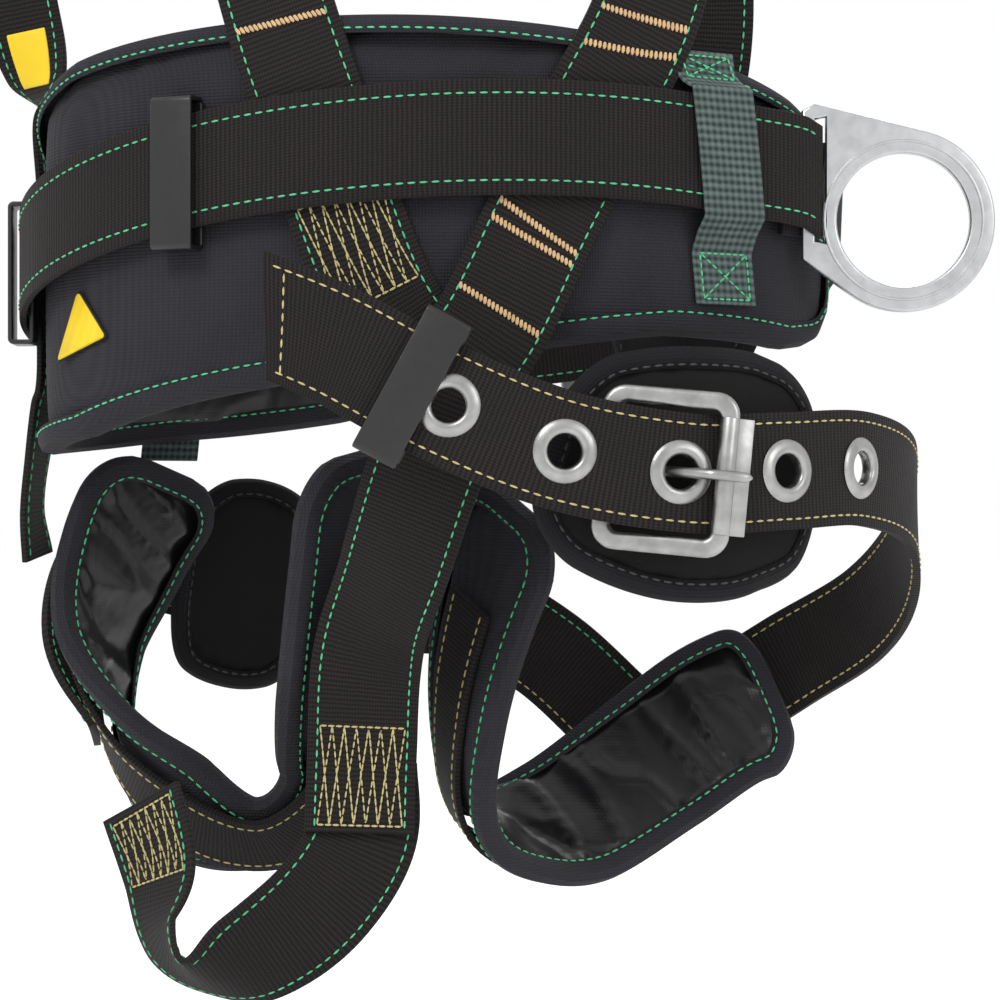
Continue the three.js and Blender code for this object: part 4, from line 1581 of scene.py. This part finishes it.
def rounded_plate(mesh: bmesh.types.BMesh, half_x: float, half_z: float, corner: float, hole_x: float,
                  hole_z: float, hole_corner: float, thick: float, soft: float) -> None:
    """Builds a rounded rectangular frame in the X-Z plane, with softened edges.

    Args:
        mesh: where it goes.
        half_x: half its width.
        half_z: half its height.
        corner: its corner radius.
        hole_x: half the hole's width.
        hole_z: half the hole's height.
        hole_corner: the hole's corner radius.
        thick: its thickness along Y.
        soft: how far its edges are rounded.
    """
    def outline(a: float, b: float, radius: float) -> list[Vector]:
        """A rounded rectangle as a closed list of points.

        Args:
            a: half its width.
            b: half its height.
            radius: its corner radius.

        Returns:
            The points.
        """
        points = []
        for quarter, (x, z) in enumerate(((1, 1), (-1, 1), (-1, -1), (1, -1))):
            for i in range(9):
                angle = math.pi / 2 * (quarter + i / 8)
                points.append(Vector((x * (a - radius) + radius * math.cos(angle), -thick / 2,
                                      z * (b - radius) + radius * math.sin(angle))))
        return points

    loops = []
    for points in (outline(half_x, half_z, corner), outline(hole_x, hole_z, hole_corner)):
        verts = [mesh.verts.new(point) for point in points]
        loops += [mesh.edges.new((a, b)) for a, b in zip(verts, verts[1:] + verts[:1])]
    made = bmesh.ops.bridge_loops(mesh, edges=loops)
    lifted = bmesh.ops.extrude_face_region(mesh, geom=made["faces"])
    verts = [item for item in lifted["geom"] if isinstance(item, bmesh.types.BMVert)]
    bmesh.ops.translate(mesh, verts=verts, vec=(0, thick, 0))
    face_outwards(mesh)
    sharp = [edge for edge in mesh.edges if edge.is_manifold and edge.calc_face_angle(0) > 1]
    bmesh.ops.bevel(mesh, geom=sharp, offset=soft, segments=3, profile=0.5, affect="EDGES", material=-1)


BAR_OFFSET = (24 - 4.1) * MM


@dataclass
class DRing:
    """A forged D-ring plate with an eye and a slot for the belt."""

    name: str
    end: BeltEnd
    swing: float
    reach: float = 38 * MM
    drop: float = -16 * MM
    eye: float = 27 * MM
    outer: float = 37 * MM
    thick: float = 5 * MM
    soft: float = 1.1 * MM

    def build(self) -> None:
        """Makes the ring from flat curves with rounded edges, then adds its raised line."""
        degrees, direction = self.end.value
        bar = RING.station(degrees, BAR_OFFSET)
        turn = math.radians(self.swing)
        reach = (bar.along * direction * math.cos(turn) + bar.out * math.sin(turn)).normalized()
        face = reach.cross(bar.side)
        place = Matrix.Translation(bar.at) @ Matrix((reach, bar.side, face)).transposed().to_4x4()
        mesh = bmesh.new()
        self.plate(mesh)
        for side in (-1, 1):
            self.line(mesh, side)
        bmesh.ops.transform(mesh, matrix=place, verts=mesh.verts[:])
        finish_piece(mesh, self.name, [Look.ALUMINIUM], self.name, (self.name,))

    def outline(self, inset: float) -> list[Vector]:
        """The outer outline, moved inwards by inset.

        Args:
            inset: metres.

        Returns:
            The outline.
        """
        centre = Vector((self.reach, self.drop))
        radius = self.outer - inset
        top, foot = Vector((2 * MM, 31 * MM - inset)), Vector((4 * MM, -37 * MM + inset))

        def touch(point: Vector, sign: int) -> float:
            """Where a straight edge from a point meets the round end.

            Args:
                point: the edge's start.
                sign: which side.

            Returns:
                The angle.
            """
            gap = centre - point
            return math.atan2(-gap.y, -gap.x) + sign * math.acos(radius / gap.length)

        low, high = touch(foot, 1), touch(top, -1)
        if high < low:
            high += 2 * math.pi
        arc = [centre + Vector((math.cos(a), math.sin(a))) * radius
               for a in (low + (high - low) * i / 48 for i in range(49))]
        back = -3 * MM + inset * 0.2
        return [Vector((back, foot.y + 5 * MM)), foot, *arc, top, Vector((back, top.y - 3 * MM))]

    def plate(self, mesh: bmesh.types.BMesh) -> None:
        """Fills the outline with its eye and slot, and rounds the edges.

        Args:
            mesh: where it goes.
        """
        curve = bpy.data.curves.new("plate", "CURVE")
        curve.dimensions = "2D"
        curve.fill_mode = "BOTH"
        curve.extrude = self.thick / 2 - self.soft
        curve.bevel_depth = self.soft
        curve.bevel_resolution = 3
        curve.offset = -self.soft
        hole = [Vector((self.reach + self.eye * math.cos(a), self.drop + self.eye * math.sin(a)))
                for a in (2 * math.pi * i / 64 for i in range(64))]
        slot = [Vector((x * MM, y * MM)) for x, y in ((2.2, -24.5), (6.6, -25.5), (6.6, 25.5), (2.2, 24.5))]
        for points in (self.outline(0.0), hole, slot):
            spline = curve.splines.new("POLY")
            spline.points.add(len(points) - 1)
            for spot, point in zip(spline.points, points):
                spot.co = (point.x, point.y, 0.0, 1.0)
            spline.use_cyclic_u = True
        carrier = bpy.data.objects.new("plate", curve)
        bpy.context.scene.collection.objects.link(carrier)
        bpy.context.view_layer.update()
        flat = bpy.data.meshes.new_from_object(carrier.evaluated_get(bpy.context.evaluated_depsgraph_get()))
        mesh.from_mesh(flat)
        bmesh.ops.remove_doubles(mesh, verts=mesh.verts[:], dist=SAME_POINT)
        face_outwards(mesh)
        bpy.data.objects.remove(carrier)

    def line(self, mesh: bmesh.types.BMesh, side: int) -> None:
        """Adds the low raised line that follows the round end.

        Args:
            mesh: the ring's shape.
            side: 1 or -1, which face.
        """
        radius = (self.outer + self.eye) / 2
        place = Matrix.Translation((self.reach, self.drop, side * self.thick / 2))
        points = [mesh.verts.new(place @ Vector((radius + 0.55 * MM * math.cos(a), 0, 0.4 * MM * math.sin(a))))
                  for a in (2 * math.pi * i / 8 for i in range(8))]
        edges = [mesh.edges.new((a, b)) for a, b in zip(points, points[1:] + points[:1])]
        bmesh.ops.spin(mesh, geom=points + edges, cent=(self.reach, self.drop, 0), axis=(0, 0, 1),
                       angle=2 * math.pi, steps=64, use_merge=True)


@dataclass
class Keeper:
    """A black keeper: a flat bar bent round the strap."""

    name: str
    station: Station
    shift: float = 0.0
    tall: float = 60 * MM
    deep: float = 11 * MM
    wall: float = 2 * MM
    long: float = 18 * MM

    def build(self) -> None:
        """Makes the keeper on the body that slides."""
        mesh = bmesh.new()
        rounded_plate(mesh, self.tall / 2, self.deep / 2, 2.4 * MM, self.tall / 2 - self.wall,
                      self.deep / 2 - self.wall, 0.8 * MM, self.long, 0.6 * MM)
        place = self.station.matrix(self.shift) @ Matrix.Rotation(math.pi / 2, 4, "X")
        bmesh.ops.transform(mesh, matrix=place, verts=mesh.verts[:])
        finish_piece(mesh, self.name, [Look.COAT], self.name, (self.name,))


# ------------------------------------------------------------------ stage
@dataclass
class Studio:
    """The camera, the pale floor and the soft lights."""

    eye: tuple[float, float, float] = (0.027, -1.18, -0.103)
    lens: float = 100.0
    floor: float = -0.36

    def build(self) -> None:
        """Sets the camera, floor and lights."""
        camera = bpy.data.objects.new("camera", bpy.data.cameras.new("camera"))
        camera.data.lens = self.lens
        camera.data.sensor_width = 36.0
        camera.location = self.eye
        camera.rotation_euler = (math.radians(90), 0, 0)
        bpy.context.scene.collection.objects.link(camera)
        bpy.context.scene.camera = camera
        mesh = bmesh.new()
        bmesh.ops.create_grid(mesh, x_segments=1, y_segments=1, size=90.0)
        data = bpy.data.meshes.new("floor")
        mesh.to_mesh(data)
        mesh.free()
        floor = bpy.data.objects.new("floor", data)
        floor.location = (0, 0, self.floor)
        data.materials.append(Graph("pale_floor", (1.0, 1.0, 1.0), 1.0).material)
        bpy.context.scene.collection.objects.link(floor)
        world = bpy.data.worlds.new("studio")
        world.use_nodes = True
        world.node_tree.nodes["Background"].inputs[0].default_value = (1.0, 1.0, 1.0, 1.0)
        world.node_tree.nodes["Background"].inputs[1].default_value = 1.0
        bpy.context.scene.world = world
        self.light("key", (-0.9, -1.5, 1.3), 0.6, 20)
        self.light("fill", (1.2, -1.2, 0.5), 0.7, 5)
        self.light("rim", (0.3, 1.2, 1.2), 0.7, 8)
        bpy.context.scene.view_settings.view_transform = "Standard"

    def light(self, name: str, at: tuple[float, float, float], size: float, power: float) -> None:
        """Adds a soft square light aimed at the saddle.

        Args:
            name: the light's name.
            at: its place.
            size: its side in metres.
            power: watts.
        """
        data = bpy.data.lights.new(name, "AREA")
        data.size = size
        data.energy = power
        light = bpy.data.objects.new(name, data)
        light.location = at
        light.rotation_euler = (Vector((0, 0, -0.08)) - Vector(at)).to_track_quat("-Z", "Y").to_euler()
        bpy.context.scene.collection.objects.link(light)


def punched_straps() -> None:
    """Makes the two leg straps and the front belt with their grommets and edge stitching."""
    right = [RIGHT_LEG.nearest(x) for x in (8, 51, 94, 135)] + [RIGHT_LEG.station(5.9 / 11)]
    left = [LEFT_LEG.nearest(x) for x in (-94, -56, -22, 8)]
    front = [FRONT_BELT.nearest(x) for x in (120, 148)]
    green = Seam("leg_strap_green_stitching", Look.GREEN)
    pale = Seam("leg_strap_pale_stitching", Look.PALE)
    tip = 19 * MM
    for name, route, places, steps, slant in (
            ("right_leg_strap", RIGHT_LEG, right, 150, tip), ("left_leg_strap", LEFT_LEG, left, 110, 0.0),
            ("front_belt", FRONT_BELT, front, 90, 0.0)):
        strip = PunchedStrap(name, route, places, steps, slant).build()
        if name == "front_belt":
            continue
        inset = WIDE / 2 - 4 * MM
        for seam, side in ((pale if slant else green, -1), (pale, 1)):
            start = 4 * MM + slant * (0.5 - side * 0.4)
            for inside in (False, True):
                seam.line(strip, [(start, side * inset), (strip.length - 2 * MM, side * inset)], inside=inside)
        pale.line(strip, [(9 * MM + slant * 0.75, -inset), (9 * MM + slant * 0.08, inset)])
    green.build()
    pale.build()
    buckles = (("right_leg_buckle", right[2]), ("left_leg_buckle", left[0]), ("front_buckle", front[0]))
    for name, station in buckles:
        Buckle(name, station).build()


def keepers() -> None:
    """Makes the four keepers."""
    on_belt = 0.4 * MM
    Keeper("belt_keeper_rear", RING.station(-34.5, 18.5 * MM), on_belt).build()
    Keeper("belt_keeper_left", RING.station(-88, 18.5 * MM), on_belt).build()
    Keeper("right_leg_keeper", RIGHT_LEG.nearest(-5)).build()
    Keeper("left_leg_keeper", LEFT_LEG.nearest(30)).build()


def main() -> None:
    """Builds the saddle piece by piece."""
    logging.basicConfig(level=logging.INFO, format="%(name)s: %(message)s")
    Studio().build()
    WaistPad().build()
    LegPads().build()
    BucklePads().build()
    Straps().build()
    Belts().build()
    punched_straps()
    keepers()
    DRing("d_ring_right", BeltEnd.RIGHT, 46.0).build()
    DRing("d_ring_left", BeltEnd.LEFT, 0.0).build()


if __name__ == "__main__":
    main()
